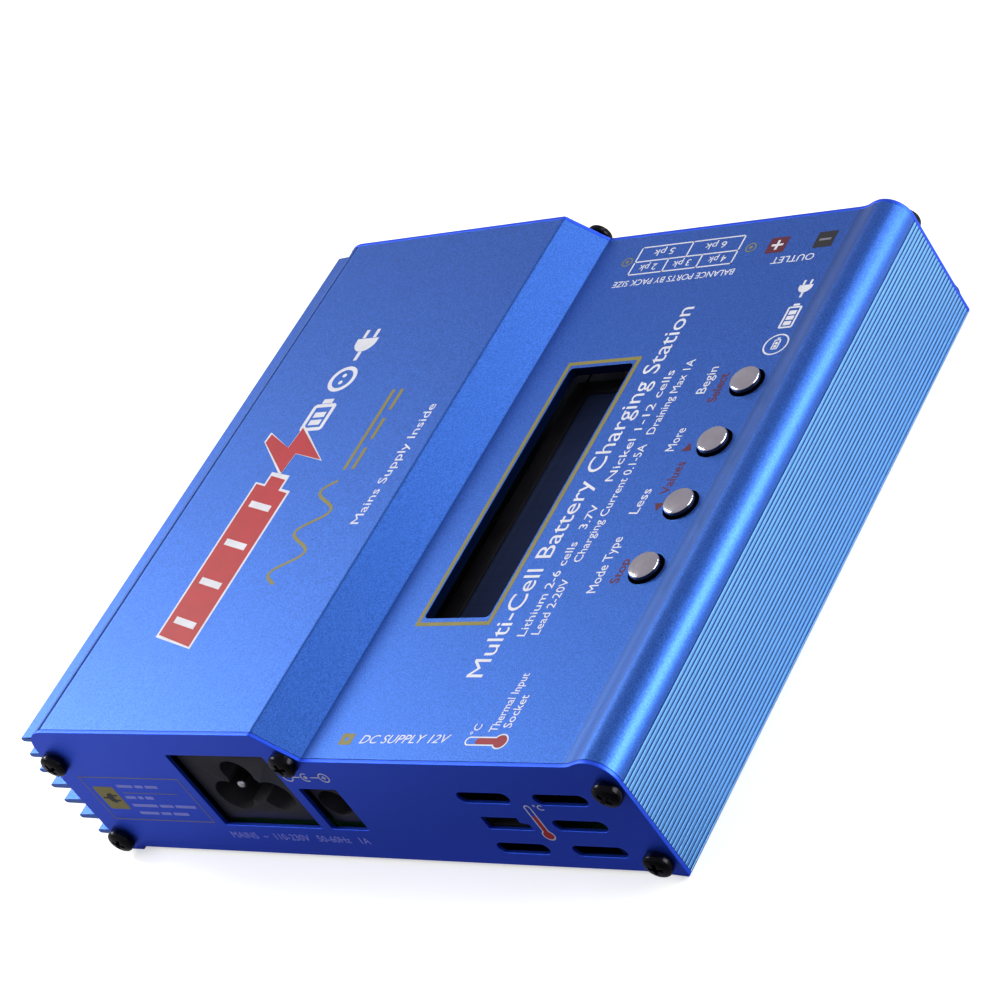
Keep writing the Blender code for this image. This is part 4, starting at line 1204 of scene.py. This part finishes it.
def thermometer(face, at, top, half, radius, line, colour, level):
    """Outlined thermometer, its bulb at a point of a face, filled with colour up to level."""
    half_in, radius_in = half - line, radius - line
    drawn(face, "white", at, [flask(top, half, radius), flask(top - line, half_in, radius_in)])
    drawn(face, colour, at, [flask(level, half_in - 0.05, radius_in - 0.05)])


def print_deck():
    for row in (
            ("white", (-49.3, -35.5), (44.0, -36.4), 4.0, "Multi-Cell Battery Charging Station"),
            ("white", (-39.6, -40.1), (-7.9, -40.5), 1.95, "Lithium 2-6 cells   3.7V"),
            ("white", (-2.1, -40.3), (26.5, -40.6), 1.95, "Nickel 1-12 cells"),
            ("white", (-39.2, -43.2), (29.2, -44.2), 1.95,
             "Lead 2-20V     Charging Current 0.1-5A   Draining Max 1A"),
            ("white", (-29.6, -50.9), (-16.3, -50.4), 2.2, "Mode Type"),
            ("dark_red", (-27.4, -54.9), (-21.6, -54.9), 2.1, "Stop", 0.04),
            ("white", (-10.8, -50.6), (-4.7, -51.0), 2.2, "Less"),
            ("white", (4.85, -51.0), (10.6, -51.2), 2.2, "More"),
            ("white", (19.5, -50.8), (26.5, -50.9), 2.2, "Begin"),
            ("dark_red", (17.2, -54.5), (24.7, -54.2), 2.1, "Select", 0.04),
            ("dark_red", (-5.9, -55.1), (2.1, -55.4), 2.1, "Values", 0.03)):
        lettering(DECK, *row)
    drawn(DECK, "dark_red", (-9.1, -54.6), [[(-1.0, 0), (1.0, -1.1), (1.0, 1.1)]])
    drawn(DECK, "dark_red", (5.9, -54.0), [[(1.0, 0), (-1.0, 1.1), (-1.0, -1.1)]])
    drawn(DECK, "gold", (0, 0), frame_lines((-36.5, -30.3), (31.65, -12.0), 0.9, 0.3))
    x = centre_mm("button_start").x
    drawn(DECK, "white", (x + 9.6, -61.6), ring(2.6, 0.32) + battery(2.6, 1.5, 0.25, 2, 0.2))
    drawn(DECK, "white", (x + 16.8, -61.5), battery(5.8, 3.2, 0.42, 3, 0.35))
    drawn(DECK, "white", (x + 25.0, -61.3), plug(3.9))


def print_deck_left():
    """Marks of the temperature port and of the low-voltage jack."""
    thermometer(DECK, (-63.2, -48.0), 8.0, 1.0, 1.7, 0.28, "crimson", 5.6)
    lettering(DECK, "white", (-62.0, -41.8), (-59.6, -42.0), 1.7, "°C")
    lettering(DECK, "white", (-61.2, -45.9), (-48.0, -46.3), 1.95, "Thermal Input")
    lettering(DECK, "white", (-60.3, -48.6), (-53.0, -48.9), 1.95, "Socket")
    square = rectangle((-1.5, -1.3), (1.5, 1.3), 0.2)
    drawn(SIDEWAYS, "gold", (-63.15, -11.7), [square, circle((0, 0), 0.45, 16)])
    lettering(SIDEWAYS, "white", (-64.1, -14.9), (-63.7, -35.4), 2.0, "DC SUPPLY 12V", 0.0, 0.3)


def print_deck_right():
    """Table of the balance sockets, and the signs of the two outputs."""
    left, right, low, high, middle, line = 55.95, 64.2, -39.5, -13.7, 59.8, 0.32
    half = line / 2
    for lo, hi in (((left, low), (left + line, high)), ((right - line, low), (right, high)),
                   ((middle - half, low), (middle + half, high)), ((left, low), (right, low + line)),
                   ((left, high - line), (right, high)), ((middle, -26.6 - half), (right, -26.6 + half)),
                   ((left, -22.4 - half), (middle, -22.4 + half)),
                   ((left, -30.8 - half), (middle, -30.8 + half))):
        drawn(DECK, "white", (0, 0), [rectangle(lo, hi)])
    for cells, y, x in ((6, -33.0, 62.95), (5, -20.2, 62.95), (4, -35.2, 58.75), (3, -26.6, 58.75),
                        (2, -18.1, 58.75)):
        wide = 2.6 if cells > 4 else 2.2
        lettering(TABLE, "white", (x, y - wide), (x, y + wide), 1.9, f"{cells} pk")
    lettering(TABLE, "white", (54.4, -41.5), (54.4, -11.6), 1.75, "BALANCE PORTS BY PACK SIZE")
    for y in (-11.7, -42.3):
        drawn(DECK, "gold", (60.15, y), target())
    arm, thick = 1.35, 0.28
    plus = [(-thick, -arm), (thick, -arm), (thick, -thick), (arm, -thick), (arm, thick), (thick, thick),
            (thick, arm), (-thick, arm), (-thick, thick), (-arm, thick), (-arm, -thick), (-thick, -thick)]
    minus = rectangle((-arm, -thick), (arm, thick))
    for at, ground, colour, sign in (((59.95, -48.7), "dark_red", "white", plus),
                                     ((60.0, -59.85), "black", "grey", minus)):
        drawn(TABLE, ground, at, [rectangle((-2.2, -2.2), (2.2, 2.2), 0.3)])
        drawn(TABLE, colour, at, [sign], 0.0, INK * 1.6)
    lettering(TABLE, "white", (56.3, -59.4), (56.3, -49.6), 1.9, "OUTLET")


def print_top():
    """Battery, flash and cell symbols in place of a name, with a wave line below."""
    middle, lean = (-25.5, 40.2), 1.6
    for colour, grow, height in (("white", 0.55, INK), ("red", 0.0, INK * 1.8)):
        half, rise, step = 20.0 + grow, 5.3 + grow, 2.4 + grow
        body = [(-half - lean, -rise), (half - lean, -rise), (half + lean, rise), (-half + lean, rise)]
        cap = [(half - 0.8, -step), (half + 2.2 + grow, -step), (half + 3.6 + grow, step), (half + 0.7, step)]
        drawn(TOP, colour, middle, [body], 0.0, height)
        drawn(TOP, colour, middle, [cap], 0.0, height * 0.98)
    for i in range(4):
        x = -16.2 + i * 10.2
        bar = [(x - 1.0, -3.4), (x + 0.6, -3.4), (x + 2.5, 3.4), (x + 0.9, 3.4)]
        drawn(TOP, "white", middle, [bar], 0.0, INK * 2.6)
    flash = [(1.8, 10.0), (-6.2, -1.4), (-0.8, -1.4), (-2.2, -10.0), (6.2, 2.0), (0.6, 2.0), (4.2, 10.0)]
    drawn(TOP, "white", (5.0, 41.0), [[(x * 1.12, y * 1.06) for x, y in flash]], -6, INK * 2.2)
    drawn(TOP, "red", (5.0, 41.0), [flash], -6, INK * 3.0)
    socket = [circle((0, 0), 3.6, 40), circle((0, 0), 2.6, 40), circle((-1.0, 0), 0.55, 16),
              circle((1.0, 0), 0.55, 16)]
    for i, shapes in enumerate((battery(7.6, 6.4, 0.95, 2, 0.7), socket, plug(7.4))):
        drawn(TOP, "white", (14.2 + i * 10.9, 40.0), shapes)
    drawn(TOP, "gold", (-18.0, 22.4), sine(27.0, 3.1, 2.5, 0.75))
    drawn(TOP, "gold", (9.5, 21.6), direct_current(22.0, 0.9))
    lettering(TOP, "white", (-16.9, 9.6), (14.9, 8.1), 2.3, "Mains Supply Inside")


def print_left_panel():
    y, z = -1.4, 24.3        # middle of the polarity symbol
    for side in (4.6, -4.6):
        drawn(LEFT, "white", (y + side, z), ring(1.15, 0.25) + [rectangle((-0.55, -0.11), (0.55, 0.11))])
    drawn(LEFT, "white", (y - 4.6, z), [rectangle((-0.11, -0.55), (0.11, 0.55))], 0.0, INK * 0.8)
    drawn(LEFT, "white", (y, z), [arc((0, 0), 1.2, 60, 300, 16) + arc((0, 0), 0.92, 300, 60, 16)])
    drawn(LEFT, "white", (y, z), [circle((0, 0), 0.42, 16)])
    for shift in (2.45, -2.2):
        drawn(LEFT, "white", (y + shift, z), [rectangle((-1.0, -0.12), (1.0, 0.12))])

    drawn(LEFT, "grey", (0, 0), frame_lines((-62.1, 9.7), (-33.8, 22.8), 0.26, 0.2))
    drawn(LEFT, "yellow", (57.6, 16.4), [rectangle((-2.9, -3.4), (2.9, 3.4), 0.5)])
    drawn(LEFT, "black", (57.2, 16.4), plug(3.6), 0.0, INK * 2)
    drawn(LEFT, "grey", (52.9, 18.1), [rectangle((0, -0.1), (15.4, 0.1))])
    for z, near, far in ((20.1, 40.8, 53.1), (16.7, 44.7, 53.3), (14.3, 34.8, 53.2), (12.0, 38.6, 53.0)):
        bars, start = [], 0.0
        for share in (0.42, 0.24, 0.34):
            end = start + share * (far - near)
            bars.append(rectangle((start, -0.4), (end - 0.7, 0.4), 0.15))
            start = end
        drawn(LEFT, "steel", (far, z), bars)
    lettering(LEFT, "steel", (32.1, 5.4), (-3.9, 5.2), 1.9, "MAINS  ~  110-230V   50-60Hz   1A")
    thermometer(LEFT, (-49.6, 10.0), 8.2, 0.75, 1.35, 0.24, "red", 5.2)
    lettering(LEFT, "white", (-51.0, 17.0), (-53.1, 17.0), 1.4, "°C")


def print_right_panel():
    arm, thick = 1.2, 0.22
    for name in OUTPUTS:
        middle = centre_mm("output_socket_" + name)
        at = (middle.y, middle.z + 7.2)
        drawn(RIGHT, "white", at, [rectangle((-arm, -thick), (arm, thick))])
        if name == "positive":
            drawn(RIGHT, "white", at, [rectangle((-thick, -arm), (thick, arm))], 0.0, INK * 0.8)
    for row in CELL_ROWS:
        for cells in row:
            lo, hi = box_mm(f"balance_socket_{cells}_cell")
            y = (lo.y + hi.y) / 2
            z = hi.z + 1.1 if len(row) == 3 else lo.z - 3.2
            lettering(RIGHT, "white", (y - 0.7, z), (y + 0.7, z), 1.9, str(cells))


def finish_prints():
    """Joins the prints into one piece for each face and colour."""
    for (face, colour), meshes in prints.items():
        things = []
        for mesh in meshes:
            weld(mesh)
            things.append(bpy.data.objects.new("print", mesh))
        name = f"print_{face}_{colour}"
        piece(joined(name, things), name, None, looks=(INKS[colour],))


print_deck()
print_deck_left()
print_deck_right()
print_top()
print_left_panel()
print_right_panel()
finish_prints()


# ---------------------------- floor, light and camera

def make_stage():
    """A pale floor, nearly shadowless to the camera; for reflected light it has painted shade, darker on the
    left and the front.
    """
    reach, thickness = 4000, 60
    floor = block("floor", (-reach, -reach, -thickness), (reach, reach, 0))
    made, tree, shader = new_material("pale_floor")
    place = coordinates(tree)
    seen = add(tree, "LightPath", {}).outputs["Is Camera Ray"]
    parts = add(tree, "SeparateXYZ", {0: place})
    # Painted shade: for rays other than the camera's, the floor is darker towards the left and the front.
    right = ramp(tree, parts.outputs["X"], 0.0, 0.95, -85.0, -45.0)
    rear = ramp(tree, parts.outputs["Y"], 0.05, 0.65, -40.0, 120.0)
    painted_light_share = maths(tree, "MAXIMUM", right, rear)
    haze = ramp(tree, noise(tree, place, 60.0), 0.0, 1.0)
    pale = blend_colours(tree, haze, (0.87, 0.89, 0.78), (0.89, 0.91, 0.80))
    painted_shade_colour = blend_colours(tree, painted_light_share, (0.10, 0.10, 0.12), (0.75, 0.75, 0.76))
    feed(tree, shader, {
        "Base Color": blend_colours(tree, seen, painted_shade_colour, pale),
        "Roughness": 0.9, "Specular IOR Level": 0.1, "Emission Color": (1, 1, 1),
        "Emission Strength": maths(tree, "MULTIPLY", seen, 0.5)})
    floor.data.materials.append(made)


def make_world():
    """White for the camera; for light, an even and slightly violet grey studio."""
    world = bpy.data.worlds.new("studio")
    bpy.context.scene.world = world
    world.use_nodes = True
    tree = world.node_tree
    tree.nodes.clear()
    soft = add(tree, "Background", {"Color": (0.90, 0.86, 1.0), "Strength": 0.45})
    white = add(tree, "Background", {"Strength": 1.0})
    seen = add(tree, "LightPath", {}).outputs["Is Camera Ray"]
    mix = add(tree, "MixShader", {0: seen, 1: soft.outputs[0], 2: white.outputs[0]})
    add(tree, "OutputWorld", {"Surface": mix.outputs[0]})


def aimed(name, kind, place, towards, power, colour=(1, 1, 1)):
    """The data of a new light at place, pointing towards another point; both are in millimetres."""
    lamp = bpy.data.lights.new(name, kind)
    lamp.energy = power
    lamp.color = colour
    thing = link(bpy.data.objects.new(name, lamp))
    spot = Vector(place) * MM
    thing.location = spot
    thing.rotation_euler = (Vector(towards) * MM - spot).to_track_quat("-Z", "Y").to_euler()
    return lamp


def make_lights():
    """A broad light behind on the left, three soft spots and a low strip close to the front."""
    for name, place, towards, power, width, height in (
            ("back_left", (-250, 900, 700), (0, 0, 20), 5.5, 800, 500),
            ("low_front", (130, -480, 90), (-20, -70, 12), 2.6, 440, 300)):
        lamp = aimed(name, "AREA", place, towards, power)
        lamp.shape = "RECTANGLE"
        lamp.size, lamp.size_y = width * MM, height * MM
    for name, place, towards, power, radius, cone, colour in (
            ("top_near_left", (140, 820, 650), (-80, -65, 30), 42.0, 200, 22, (1.0, 0.97, 0.86)),
            ("front_right", (850, -420, 380), (85, 0, 30), 9.0, 150, 20, (1, 1, 1)),
            ("slope_far", (800, -560, 780), (80, -20, 30), 6.0, 150, 12, (1, 1, 1))):
        lamp = aimed(name, "SPOT", place, towards, power, colour)
        lamp.shadow_soft_size = radius * MM
        lamp.spot_size = math.radians(cone)
        lamp.spot_blend = 1.0


def make_camera():
    """A long lens in front, on the left and above; right and back are the camera's own axes."""
    lens = bpy.data.cameras.new("camera")
    lens.lens = 108.85
    lens.sensor_width = 36.0
    lens.clip_start, lens.clip_end = 0.01, 20.0
    camera = link(bpy.data.objects.new("camera", lens))
    right = Vector((0.427090, -0.751605, -0.502676))
    back = Vector((-0.534124, -0.658278, 0.530454))
    turn = Matrix((right, back.cross(right), back)).transposed()
    camera.matrix_world = Matrix.Translation((-0.30769, -0.38791, 0.32937)) @ turn.to_4x4()
    bpy.context.scene.camera = camera


bpy.context.scene.view_settings.view_transform = "Standard"
make_stage()
make_world()
make_lights()
make_camera()
